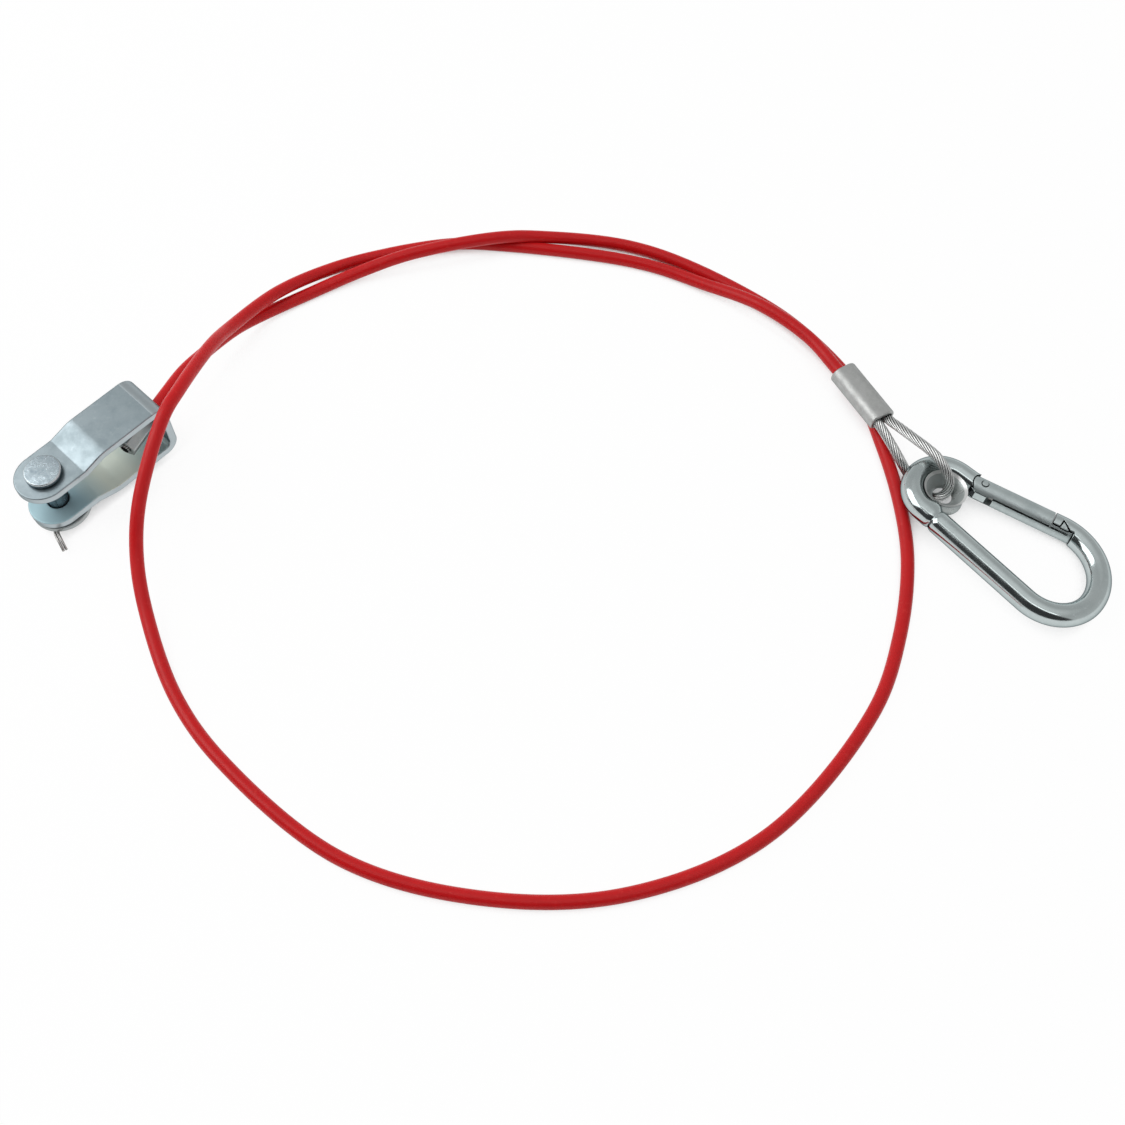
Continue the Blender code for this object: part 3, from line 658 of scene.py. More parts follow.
def wound(tree, curve, count, radius, lay):
    """Copies of a curve that wind round it, as strands do in a rope."""
    keep = add(tree, "GeometryNodeCaptureAttribute", domain="POINT")
    for kind, name in (("FLOAT", "along"), ("VECTOR", "normal"), ("VECTOR", "tangent")):
        keep.capture_items.new(kind, name)
    tree.links.new(curve, keep.inputs["Geometry"])
    tree.links.new(along_spline(tree, "Length"), keep.inputs["along"])
    tree.links.new(add(tree, "GeometryNodeInputNormal").outputs[0], keep.inputs["normal"])
    tree.links.new(add(tree, "GeometryNodeInputTangent").outputs[0], keep.inputs["tangent"])
    kept = keep.outputs
    copies = add(
        tree, "GeometryNodeDuplicateElements", {"Geometry": kept["Geometry"], "Amount": count}, domain="SPLINE"
    ).outputs
    share = math_node(tree, "DIVIDE", copies["Duplicate Index"], count)
    turns = math_node(tree, "ADD", math_node(tree, "DIVIDE", kept["along"], lay), share)
    turn = math_node(tree, "MULTIPLY", turns, math.tau)
    beside = vector_node(tree, "CROSS_PRODUCT", kept["tangent"], kept["normal"])
    parts = []
    for wave, axis in (("COSINE", kept["normal"]), ("SINE", beside)):
        reach = math_node(tree, "MULTIPLY", math_node(tree, wave, turn), radius)
        parts.append(add(tree, "ShaderNodeVectorMath", {0: axis, "Scale": reach}, operation="SCALE").outputs[0])
    shift = vector_node(tree, "ADD", *parts)
    return add(tree, "GeometryNodeSetPosition", {"Geometry": copies["Geometry"], "Offset": shift}).outputs[0]


def wire_rope_tree():
    """Wires wound round a core along a path, with how far out of the core each point lies."""
    tree, given, made = new_group(
        "Wire rope", "GeometryNodeTree",
        {
            "Path": "Geometry", "Radius": "Float", "Wires": "Int", "Lay": "Float", "Sides": "Int",
            "Core sides": "Int", "Material": "Material",
        },
        {"Rope": "Geometry"},
    )
    half_step = math_node(tree, "SINE", math_node(tree, "DIVIDE", math.pi, given["Wires"]))
    thin = math_node(tree, "MULTIPLY", given["Radius"], half_step)
    thin = math_node(tree, "DIVIDE", thin, math_node(tree, "ADD", half_step, 1.0))
    reach = math_node(tree, "SUBTRACT", given["Radius"], thin)
    wires = wound(tree, given["Path"], given["Wires"], reach, given["Lay"])
    both = add(tree, "GeometryNodeJoinGeometry")
    for line, radius, sides in ((wires, thin, given["Sides"]), (given["Path"], reach, given["Core sides"])):
        tree.links.new(swept(tree, line, round_profile(tree, radius, sides)), both.inputs[0])
    middle = add(tree, "GeometryNodeCurveToMesh", {"Curve": given["Path"]}).outputs[0]
    away = add(tree, "GeometryNodeProximity", {"Geometry": middle}, target_element="EDGES").outputs["Distance"]
    out = math_node(tree, "DIVIDE", math_node(tree, "SUBTRACT", away, reach), thin)
    return end_tree(tree, stored(tree, both.outputs[0], "outward", out), given, made)


def coil_spring_tree():
    """A wire coil along +Z."""
    tree, given, made = new_group(
        "Coil spring", "GeometryNodeTree",
        {
            "Start": "Geometry", "Coil radius": "Float", "Wire radius": "Float", "Turns": "Float",
            "Height": "Float", "Steps": "Int", "Sides": "Int", "Material": "Material",
        },
        {"Spring": "Geometry"},
    )
    line = add(
        tree, "GeometryNodeCurveSpiral",
        {
            "Resolution": given["Steps"], "Rotations": given["Turns"], "Start Radius": given["Coil radius"],
            "End Radius": given["Coil radius"], "Height": given["Height"],
        },
    ).outputs[0]
    profile = round_profile(tree, given["Wire radius"], given["Sides"])
    return end_tree(tree, swept(tree, line, profile), given, made)


# Shader nodes


def mixed(tree, share, first, second):
    """Two colours mixed by the second one's share."""
    return add(tree, "ShaderNodeMix", {"Factor": share, 6: first, 7: second}, data_type="RGBA").outputs[2]


def ranged(tree, value, low=0.0, high=1.0, to_low=0.0, to_high=1.0):
    """A value moved from one range to another."""
    return add(
        tree, "ShaderNodeMapRange",
        {"Value": value, "From Min": low, "From Max": high, "To Min": to_low, "To Max": to_high},
    ).outputs[0]


def noise(tree, place, scale, detail, roughness):
    return add(
        tree, "ShaderNodeTexNoise", {"Vector": place, "Scale": scale, "Detail": detail, "Roughness": roughness}
    ).outputs[0]


def marked(tree, name):
    """A value that the mesh carries."""
    return add(tree, "ShaderNodeAttribute", attribute_name=name).outputs["Fac"]


def ramp(tree, value, stops):
    """A colour that follows a value, through stops of (value, colour)."""
    node = add(tree, "ShaderNodeValToRGB", {"Fac": value})
    points = node.color_ramp.elements
    points[0].position = stops[0][0]
    points[1].position = stops[-1][0]
    for position, _ in stops[1:-1]:
        points.new(position)
    for point, (_, shade) in zip(points, stops):
        point.color = (*shade, 1)
    return node.outputs["Color"]


def mottle_group():
    """Cloudy patches and small flecks, as on plated or cast metal."""
    tree, given, made = new_group(
        "Mottle", "ShaderNodeTree",
        {
            "Base": "Color", "Patch": "Color", "Fleck": "Color", "Scale": "Float", "Amount": "Float",
            "Flecks": "Float",
        },
        {"Color": "Color", "Cloud": "Float", "Height": "Float"},
    )
    place = add(tree, "ShaderNodeTexCoord").outputs["Object"]
    cloud = ranged(tree, noise(tree, place, given["Scale"], detail=7.0, roughness=0.68), 0.36, 0.64)
    patchy = mixed(tree, math_node(tree, "MULTIPLY", cloud, given["Amount"]), given["Base"], given["Patch"])
    finer = math_node(tree, "MULTIPLY", given["Scale"], 5.5)
    grain = noise(tree, place, finer, detail=3.0, roughness=0.6)
    flecks = math_node(tree, "MULTIPLY", ranged(tree, grain, 0.60, 0.72), given["Flecks"])
    flecked = mixed(tree, flecks, patchy, given["Fleck"])
    for name, value in (("Color", flecked), ("Cloud", cloud), ("Height", grain)):
        tree.links.new(value, made[name])
    return tree


def scratch_group():
    """Fine lines that run one way, as from rubbing or drawing."""
    tree, given, made = new_group(
        "Fine lines", "ShaderNodeTree", {"Along": "Float", "Across": "Float", "Heading": "Float"},
        {"Lines": "Float"},
    )
    place = add(tree, "ShaderNodeTexCoord").outputs["Object"]
    headed = add(
        tree, "ShaderNodeVectorRotate", {"Vector": place, "Angle": given["Heading"]}, rotation_type="Z_AXIS"
    ).outputs[0]
    stretch = add(tree, "ShaderNodeCombineXYZ", {0: given["Along"], 1: given["Across"], 2: given["Across"]})
    squeezed = vector_node(tree, "MULTIPLY", headed, stretch.outputs[0])
    tree.links.new(noise(tree, squeezed, 1.0, detail=4.0, roughness=0.7), made["Lines"])
    return tree


# Materials


def surface(name):
    """A new material, its tree and its shader."""
    material = bpy.data.materials.new(name)
    material.use_nodes = True
    return material, material.node_tree, material.node_tree.nodes["Principled BSDF"]


def mottled(tree, base, patch, fleck, scale, amount, flecks):
    return add(
        tree, "ShaderNodeGroup",
        {
            "Base": (*base, 1), "Patch": (*patch, 1), "Fleck": (*fleck, 1), "Scale": scale, "Amount": amount,
            "Flecks": flecks,
        },
        node_tree=once("Mottle", mottle_group),
    ).outputs


def dress(tree, shader, shade, gloss, height, grain):
    """Gives a shader its colour, its gloss and its skin, grain being the skin's strength and depth."""
    bump = add(tree, "ShaderNodeBump", {"Height": height, "Strength": grain[0], "Distance": grain[1] * MM})
    for name, value in (("Base Color", shade), ("Roughness", gloss), ("Normal", bump.outputs[0])):
        tree.links.new(value, shader.inputs[name])


def metal(name, paint, colours, scale, amount, roughness, grain, lines=None, flecks=0.5, metallic=1.0):
    """A metal with mottled colour, uneven gloss, a fine skin, painted shade on cut walls and painted highlights
    on marked edges and rims.

    colours are its base, patches and flecks, roughness the range from clear to cloudy, and lines
    (along, across, heading, depth) its drawing marks.
    """
    material, tree, shader = surface(name)
    base, patch, fleck = [getattr(paint, key) for key in colours]
    shader.inputs["Metallic"].default_value = metallic
    shader.inputs["Specular Tint"].default_value = METAL_SHEEN
    skin = mottled(tree, base, patch, fleck, scale, amount, flecks)
    # Painted shade on faces marked as cut walls, then a painted highlight on the marked edges and rims.
    shaded = mixed(tree, marked(tree, "cut"), skin["Color"], CUT_SHADE)
    highlighted = mixed(tree, marked(tree, "painted_highlight"), shaded, (*fleck, 1))
    height = skin["Height"]
    if lines:
        along, across, heading, depth = lines
        marks = add(
            tree, "ShaderNodeGroup", {"Along": along, "Across": across, "Heading": heading},
            node_tree=once("Fine lines", scratch_group),
        ).outputs["Lines"]
        height = math_node(tree, "ADD", height, math_node(tree, "MULTIPLY", marks, depth))
    gloss = ranged(tree, skin["Cloud"], to_low=roughness[0], to_high=roughness[1])
    dress(tree, shader, highlighted, gloss, height, grain)
    return material


def recoloured(material, change):
    """Changes what a material's base colour comes from."""
    tree = material.node_tree
    socket = tree.nodes["Principled BSDF"].inputs["Base Color"]
    tree.links.new(change(tree, socket.links[0].from_socket), socket)


def add_films(material, paint):
    """Thin blue and pale films on the inside of the fork's lower arm, going to a darker green near the web: film
    in hue, painted shade in darkness.
    """
    tree = material.node_tree
    inside = marked(tree, "inside")
    film = ramp(tree, marked(tree, "along"), [
        (0.12, paint.blue_film), (0.36, paint.pale_film), (0.55, paint.pale_film), (0.8, paint.shaded_green_film),
    ])
    recoloured(material, lambda tree, plain: mixed(tree, math_node(tree, "MULTIPLY", inside, 0.85), plain, film))
    bare = ranged(tree, inside, to_low=1.0, to_high=0.3)
    tree.links.new(bare, tree.nodes["Principled BSDF"].inputs["Metallic"])


def add_gap_shade(material, paint):
    """Painted shade on the lines between the rope's wires, where a point lies deep between them."""
    bare = ranged(material.node_tree, marked(material.node_tree, "outward"), 0.3, 0.85)
    recoloured(material, lambda tree, plain: mixed(tree, bare, (*paint.rope_gap_shade, 1), plain))


def red_coat(paint):
    """Soft red coat: slightly uneven colour, faint ripples and a few scuffs."""
    material, tree, shader = surface("red_coat_skin")
    shader.inputs["IOR"].default_value = 1.5
    shader.inputs["Specular IOR Level"].default_value = 0.25
    skin = mottled(tree, paint.red, paint.red_deep, paint.red_scuff, scale=120.0, amount=0.4, flecks=0.4)
    winds = math_node(tree, "MULTIPLY", marked(tree, "along"), 90.0)
    winding = math_node(tree, "ADD", winds, marked(tree, "around"))
    ripple = math_node(tree, "SINE", math_node(tree, "MULTIPLY", winding, 6 * math.tau))
    height = math_node(tree, "ADD", skin["Height"], math_node(tree, "MULTIPLY", ripple, 0.10))
    gloss = ranged(tree, skin["Cloud"], to_low=0.32, to_high=0.42)
    dress(tree, shader, skin["Color"], gloss, height, grain=(0.16, 0.05))
    return material


METAL_SHEEN = (0.26, 0.28, 0.29, 1)
# Painted shade: the colour of upright faces deep inside cuts and gaps, and in the eyelet's throat.
CUT_SHADE = (0.08, 0.085, 0.09, 1)
HOOK_COLOURS = ("mirror", "mirror_dark", "zinc_bright")
METALS = {
    "fork_zinc": dict(
        colours=("zinc", "zinc_dark", "zinc_bright"), scale=110.0, amount=0.8, roughness=(0.30, 0.44),
        grain=(0.2, 0.04), flecks=0.12,
    ),
    # The pin's many bright flecks are painted glints.
    "pin_zinc": dict(
        colours=("pin", "pin_dark", "zinc_bright"), scale=420.0, amount=1.0, roughness=(0.20, 0.40),
        grain=(0.5, 0.06), flecks=0.7,
    ),
    "stop_zinc": dict(
        colours=("stop", "zinc", "zinc_bright"), scale=300.0, amount=0.5, roughness=(0.3, 0.42),
        grain=(0.3, 0.04), metallic=0.7,
    ),
    "hook_zinc": dict(
        colours=HOOK_COLOURS, scale=180.0, amount=0.6, roughness=(0.10, 0.19), grain=(0.10, 0.03),
        lines=(60.0, 1500.0, 0.76, 0.5),
    ),
    "gate_zinc": dict(
        colours=HOOK_COLOURS, scale=180.0, amount=0.6, roughness=(0.42, 0.52), grain=(0.10, 0.03),
        lines=(60.0, 1500.0, 0.5, 0.5),
    ),
    "eyelet_zinc": dict(
        colours=("stop", "mirror", "rope"), scale=180.0, amount=0.5, roughness=(0.26, 0.36),
        grain=(0.10, 0.03), flecks=0.0, metallic=0.6,
    ),
    "drawn_steel": dict(
        colours=("steel", "steel_dark", "rope"), scale=500.0, amount=0.8, roughness=(0.30, 0.46),
        grain=(0.3, 0.03),
    ),
    "rope_zinc": dict(
        colours=("rope", "rope_dark", "zinc_bright"), scale=700.0, amount=0.8, roughness=(0.22, 0.38),
        grain=(0.2, 0.02),
    ),
    "ferrule_alloy": dict(
        colours=("alloy", "alloy_dark", "zinc_bright"), scale=300.0, amount=0.55, roughness=(0.46, 0.58),
        grain=(0.3, 0.04), lines=(90.0, 2200.0, 1.05, 0.9),
    ),
}
EXTRAS = {"fork_zinc": add_films, "rope_zinc": add_gap_shade}


def finish(context, name):
    """A material that is made the first time a piece asks for it."""
    material = bpy.data.materials.get(name)
    if material:
        return material
    [paint] = sizes(context, "finish_colours")
    if name not in METALS:
        return red_coat(paint)
    material = metal(name, paint, **METALS[name])
    if name in EXTRAS:
        EXTRAS[name](material, paint)
    return material


# Operators


class CABLE_OT_stage(bpy.types.Operator):
    """Camera, floor and soft studio light"""

    bl_idname = "cable.stage"
    bl_label = "Stage"

    def execute(self, context):
        settings = context.scene.stage_settings
        camera = bpy.data.cameras.new("camera")
        camera.lens = settings.lens
        camera.sensor_width = 36.0
        camera.clip_start = 0.01
        context.scene.camera = self.aimed("camera", camera, settings.eye, settings.target)
        context.scene.view_settings.view_transform = "Standard"
        self.floor()
        context.scene.world = self.studio()
        lamp = bpy.data.lights.new("key", "AREA")
        lamp.shape = "RECTANGLE"
        lamp.size = lamp.size_y = 0.8
        lamp.energy = settings.key
        self.aimed("key", lamp, (-0.72, 0.13, 0.68), (0, 0, 0)).visible_camera = False
        return {"FINISHED"}

    def aimed(self, name, data, place, target):
        """An object at a place in metres that points at its target."""
        obj = loose_object(name, data)
        obj.location = place
        obj.rotation_euler = (Vector(target) - Vector(place)).to_track_quat("-Z", "Y").to_euler()
        return obj

    def floor(self):
        """A white floor that is only shaded where something closes it in."""
        bm = bmesh.new()
        bmesh.ops.create_grid(bm, x_segments=8, y_segments=8, size=3.0)
        floor = loose_object("floor", mesh_of("floor", bm))
        material, tree, shader = surface("floor_white")
        shader.inputs["Base Color"].default_value = (0.97, 0.97, 0.97, 1)
        shader.inputs["Roughness"].default_value = 0.9
        shader.inputs["Specular IOR Level"].default_value = 0
        path = add(tree, "ShaderNodeLightPath").outputs
        seen = math_node(tree, "MAXIMUM", path["Is Camera Ray"], path["Is Glossy Ray"])
        seen = math_node(tree, "MAXIMUM", seen, path["Is Transmission Ray"])
        white = add(tree, "ShaderNodeEmission", {"Color": (1, 1, 1, 1), "Strength": 1.0})
        open_sky = add(tree, "ShaderNodeAmbientOcclusion", {"Distance": 0.03}, samples=4).outputs["AO"]
        share = math_node(tree, "MULTIPLY", seen, ranged(tree, open_sky, 0.1, 0.34, to_high=0.97))
        both = add(tree, "ShaderNodeMixShader", {0: share, 1: shader.outputs[0], 2: white.outputs[0]})
        tree.links.new(both.outputs[0], tree.nodes["Material Output"].inputs["Surface"])
        floor.data.materials.append(material)

    def studio(self):
        """A bright ceiling over grey walls, a dark side behind the camera and a lit strip beside it."""
        world = bpy.data.worlds.new("studio")
        world.use_nodes = True
        tree = world.node_tree
        way = add(tree, "ShaderNodeTexCoord").outputs["Generated"]
        split = add(tree, "ShaderNodeSeparateXYZ", {0: way}).outputs
        greys = [(0.0, 0.95), (0.1, 0.90), (0.2, 0.63), (0.35, 0.60), (0.72, 0.54), (0.86, 0.66), (1.0, 0.90)]
        walls = ramp(tree, split["Z"], [(height, (grey, grey, grey)) for height, grey in greys])
        behind_camera = (-0.5, -0.87, 0)
        facing = add(
            tree, "ShaderNodeVectorMath", {0: way, 1: behind_camera}, operation="DOT_PRODUCT"
        ).outputs["Value"]
        dark = math_node(tree, "MULTIPLY", ranged(tree, facing, 0.35, 0.43), ranged(tree, split["Z"], 0.1, 0.18))
        dim = mixed(tree, dark, walls, (0.05, 0.05, 0.052, 1))
        from_strip = math_node(tree, "ABSOLUTE", math_node(tree, "SUBTRACT", facing, 0.29))
        high = math_node(tree, "GREATER_THAN", split["Z"], 0.8)
        strip = math_node(tree, "MULTIPLY", ranged(tree, from_strip, 0.05, 0.03), high)
        strip = math_node(tree, "MULTIPLY", strip, ranged(tree, split["X"], -0.5, -0.25))
        lit = mixed(tree, strip, dim, (2.4, 2.4, 2.4, 1))
        tree.links.new(lit, tree.nodes["Background"].inputs["Color"])
        return world


class CABLE_OT_red_cable(bpy.types.Operator):
    """The red coated cable, from the fork round to the ferrule"""

    bl_idname = "cable.red_cable"
    bl_label = "Red cable"

    def execute(self, context):
        cable, fork, end = sizes(context, "cable_sizes", "fork_sizes", "end_sizes")
        lean = math.sin(end.lean)
        start_at = fork.thick / 2 / math.cos(end.lean) + cable.coat_radius * lean + GAP
        at_fork = cable_end_frame(fork, end)
        start = at_fork @ Vector((start_at, 0, 0))
        lead = at_fork @ Vector((start_at + 2 * cable.coat_radius, 0, 0))
        last = ferrule_frame(end) @ Vector((-end.ferrule_long / 2 - GAP, -end.leg_spread / 4, 0))
        line = [start, *smooth_line([lead, *ROUTE, last], 1.5, cable.coat_radius)]
        skin = finish(context, "red_coat_skin")
        mesh = grown_mesh(
            "red_cable", path_object("cable_path", line), once("Coated cable", coated_cable_tree),
            {"Radius": cable.coat_radius * MM, "Sides": cable.sides, "Material": skin},
        )
        bm = bmesh.new()
        bm.from_mesh(mesh)
        bmesh.ops.recalc_face_normals(bm, faces=bm.faces)
        bm.to_mesh(mesh)
        bm.free()
        piece = show("red_cable", mesh, IN_METRES, "cable", "cable", skin)
        return {"FINISHED"}


class CABLE_OT_fork(bpy.types.Operator):
    """The bent strap"""

    bl_idname = "cable.fork"
    bl_label = "Fork"

    def execute(self, context):
        fork, pin, end, cable = sizes(context, "fork_sizes", "pin_sizes", "end_sizes", "cable_sizes")
        ear = (fork.ear_gap + fork.thick) / 2
        arm = ear + fork.ear_step
        tip = -(fork.ear_tip + fork.width / 2)
        web = fork.long - fork.thick / 2
        half = [
            (tip, ear, 0), (fork.step_near, ear, fork.near_bend), (fork.step_far, arm, fork.far_bend),
            (web, arm, fork.web_bend - fork.thick / 2),
        ]
        middle = rounded(half + [(x, -z, bend) for x, z, bend in reversed(half)], 12)
        outline = offset(middle, fork.thick / 2) + offset(middle, -fork.thick / 2)[::-1]
        tall = arm + 2 * fork.thick
        beyond = fork.long + fork.thick
        wide = fork.width / 2 + fork.thick
        ear_end = arc((-fork.ear_tip, 0), fork.width / 2, 90, 270, 56)
        square = [
            (fork.step_near, -fork.width / 2), (fork.step_near, -wide), (beyond, -wide),
            (beyond, wide), (fork.step_near, wide), (fork.step_near, fork.width / 2),
        ]
        rope_hole = cable.rope_radius + GAP + fork.thick * math.sin(end.lean)
        mesh = carve(
            prism(outline, -fork.width / 2, fork.width / 2, "Y"),
            [
                ("INTERSECT", prism(ear_end + square, -tall, tall)),
                ("DIFFERENCE", prism(circle(pin.radius + PIN_PLAY, 64), -tall, tall)),
                ("DIFFERENCE", prism(circle(rope_hole, 40), web - 2 * fork.thick, beyond, "X")),
            ],
            edge=fork.edge,
        )
        self.mark_films(mesh, fork, ear, arm)
        skin = finish(context, "fork_zinc")
        show("bent_fork", mesh, fork_frame(fork), "fork", "fork", skin)
        return {"FINISHED"}

    def mark_films(self, mesh, fork, ear, arm):
        """Marks the lower arm's inside, the side faces and web bend that get a painted highlight, and how far
        each point is from the pin.
        """
        bend_start = fork.long - fork.web_bend

        def film(face):
            low = -arm - 0.1 < face.center.z < -ear + fork.thick
            return float(low and face.normal.z > 0.6)

        # Painted highlight: lighter side faces of the strap, and a lighter band round the web's bend.
        def edge_highlight(face):
            if face.center.x > bend_start:
                return 0.45
            return 0.6 if abs(face.normal.z) < 0.5 else 0.0

        mark(mesh, "inside", film)
        mark(mesh, "painted_highlight", edge_highlight)
        along = mesh.attributes.new("along", "FLOAT", "POINT")
        for vertex in mesh.vertices:
            along.data[vertex.index].value = vertex.co.x / fork.long


class CABLE_OT_fork_pin(bpy.types.Operator):
    """The headed pin with its washer and split pin"""

    bl_idname = "cable.fork_pin"
    bl_label = "Fork pin"

    def execute(self, context):
        fork, pin = sizes(context, "fork_sizes", "pin_sizes")
        ear_outer = fork.ear_gap / 2 + fork.thick
        under = ear_outer + GAP
        top = under + pin.head_height
        washer_top = -under
        washer_low = washer_top - pin.washer_thick
        foot = washer_low - pin.tail
        level = washer_low - GAP - pin.wire - pin.spread / 2
        at_fork = fork_frame(fork)
        skin = finish(context, "pin_zinc")
        profile = rounded(
            [
                (0, foot, 0), (pin.radius, foot, 0.6), (pin.radius, under, 0), (pin.head_radius, under, 0.6),
                (pin.head_radius, top, 0.55), (0, top + 0.12, 0),
            ],
            5, closed=True,
        )
        hole = prism(circle(pin.spread / 2 + pin.wire + GAP, 24), -2 * pin.radius, 2 * pin.radius, "X")
        split_frame = frame_matrix((0, 0, level), pin.turn)
        hole.transform(split_frame)
        shank = carve(turned(profile, 96), [("DIFFERENCE", hole)], edge=0.12)
        # Painted highlight on the rounded rim of the head.
        mark(shank, "painted_highlight", lambda face: float(face.center.z > top - 0.5 and 0.15 < face.normal.z < 0.98))
        show("headed_pin", shank, at_fork, "pin", "fork_pin", skin)
        inner = pin.radius + PIN_PLAY
        ring = rounded(
            [
                (inner, washer_low, 0.15), (pin.washer_radius, washer_low, 0.3),
                (pin.washer_radius, washer_top, 0.3), (inner, washer_top, 0.15),
            ],
            4, closed=True,
        )
        dull = finish(context, "stop_zinc")
        show("pin_washer", turned(ring, 112), at_fork, "pin", "fork_washer", dull)
        self.split_pin(context, pin, at_fork @ split_frame)
        return {"FINISHED"}

    def split_pin(self, context, pin, matrix):
        side = pin.spread / 2
        eye_x = -(pin.radius + GAP + pin.eye + pin.wire)
        opening = math.degrees(math.asin(side / pin.eye))
        tip = (pin.leg + pin.tip * math.cos(pin.bend), pin.tip * math.sin(pin.bend), 0)
        middle = rounded([(0, 0, 0), (pin.leg, 0, pin.bend_radius), tip], 14)
        eye = arc((eye_x, 0), pin.eye, opening, 360 - opening, 48)
        line = offset(middle, side)[::-1] + eye + offset(middle, -side)
        skin = finish(context, "drawn_steel")
        show("split_pin_wire", wire(line, pin.wire, 14), matrix, "pin", "split_pin", skin)


class CABLE_OT_cable_end(bpy.types.Operator):
    """The six-sided stop pressed on the rope inside the fork, and the bare rope through it"""

    bl_idname = "cable.cable_end"
    bl_label = "Cable end"

    def execute(self, context):
        cable, fork, end = sizes(context, "cable_sizes", "fork_sizes", "end_sizes")
        lean = math.sin(end.lean)
        half = fork.thick / 2 / math.cos(end.lean)
        stop_end = -(half + end.stop_radius * lean + GAP)
        stop_start = stop_end - end.stop_long
        coat = half + cable.coat_radius * lean
        bore = cable.rope_radius + GAP
        at_fork = cable_end_frame(fork, end)
        six_sides = arc((0, 0), end.stop_radius, 50, 410, steps=6)[:-1]
        stop = carve(
            prism(six_sides, stop_start, stop_end, "X"),
            [("DIFFERENCE", prism(circle(bore, 40), stop_start - GAP, stop_end + GAP, "X"))], edge=0.3,
        )
        plating = finish(context, "stop_zinc")
        show("crimped_stop", stop, at_fork, "cable", "cable_stop", plating)
        steps = 40
        low = stop_start - end.rope_end
        line = [at_fork @ Vector((low + (coat - low) * i / steps, 0, 0)) for i in range(steps + 1)]
        show_rope(context, "rope_tail", line, "cable_stub")
        return {"FINISHED"}


def show_rope(context, name, line, node):
    """Shows bare wire rope along a line."""
    [cable] = sizes(context, "cable_sizes")
    skin = finish(context, "rope_zinc")
    mesh = grown_mesh(
        name, path_object(name + "_path", line), once("Wire rope", wire_rope_tree),
        {
            "Radius": cable.rope_radius * MM, "Wires": cable.wires, "Lay": cable.lay * MM, "Sides": 8,
            "Core sides": 24, "Material": skin,
        },
    )
    show(name, mesh, IN_METRES, "cable", node, skin)


class CABLE_OT_ferrule(bpy.types.Operator):
    """The pressed oval ferrule"""

    bl_idname = "cable.ferrule"
    bl_label = "Ferrule"

    def execute(self, context):
        cable, end = sizes(context, "cable_sizes", "end_sizes")
        half = end.ferrule_long / 2
        edge = end.ferrule_edge
        rims = []
        for i in range(7):
            turn = math.radians(90 * i / 6)
            rims.append((edge * (1 - math.sin(turn)) - half, 2 * edge * (1 - math.cos(turn))))
        rims = rims[::-1]
        rims += [(-half + edge + (end.ferrule_long - 2 * edge) * i / 12, 0) for i in range(1, 12)]
        rims += [(-x, less) for x, less in reversed(rims[:7])]
        bm = bmesh.new()
        rings = []
        for x, less in rims:
            oval = stadium(end.ferrule_width - less, end.ferrule_height - less, 22)
            rings.append([bm.verts.new((x, y, z)) for y, z in oval])
        skin_rings(bm, rings)
        bore = cable.rope_radius + GAP
        passage = prism(stadium(end.leg_spread + 2 * bore, 2 * bore, 18), -half - GAP, half + GAP, "X")
        mesh = carve(mesh_of("ferrule", bm), [("DIFFERENCE", passage)], edge=0.12)
        skin = finish(context, "ferrule_alloy")
        show("oval_ferrule", mesh, ferrule_frame(end), "cable", "ferrule", skin)
        return {"FINISHED"}


class CABLE_OT_rope_eye(bpy.types.Operator):
    """The bare rope's eye through the hook's eyelet"""

    bl_idname = "cable.rope_eye"
    bl_label = "Rope eye"

    def execute(self, context):
        cable, end, hook = sizes(context, "cable_sizes", "end_sizes", "hook_sizes")
        half = end.ferrule_long / 2
        side = end.leg_spread / 2
        start = end.rope_end - half
        matrix = ferrule_frame(end)
        legs = [(start, side, 0), (half, side, 0), (half, -side, 0), (start, -side, 0)]
        inside, out, back, tail = [matrix @ Vector(leg) for leg in legs]
        loop = []
        for turn, reach, height in EYE_ROUTE:
            heading = math.radians(turn)
            loop.append(hook.place + Vector((reach * math.cos(heading), reach * math.sin(heading), height)))
        knots = [inside, inside.lerp(out, 0.6), out, *loop, back, back.lerp(tail, 0.4), tail]
        line = smooth_line(knots, 0.5, cable.rope_radius)
        show_rope(context, "rope_eye", line, "eye_rope")
        return {"FINISHED"}


def latch_edge(gate):
    """The gate's stepped end with its tooth, from the outer side to the lip's tip."""
    tip = gate.main + gate.lip
    tooth = gate.main + gate.tooth_at
    return [
        (gate.main, 2 * gate.radius), (gate.main, gate.lip_edge), (tooth - GAP, gate.lip_edge),
        (tooth, gate.lip_edge + gate.tooth_rise), (tooth + gate.tooth_long, gate.lip_edge),
        (tip, gate.lip_edge), (tip, -2 * gate.radius),
    ]


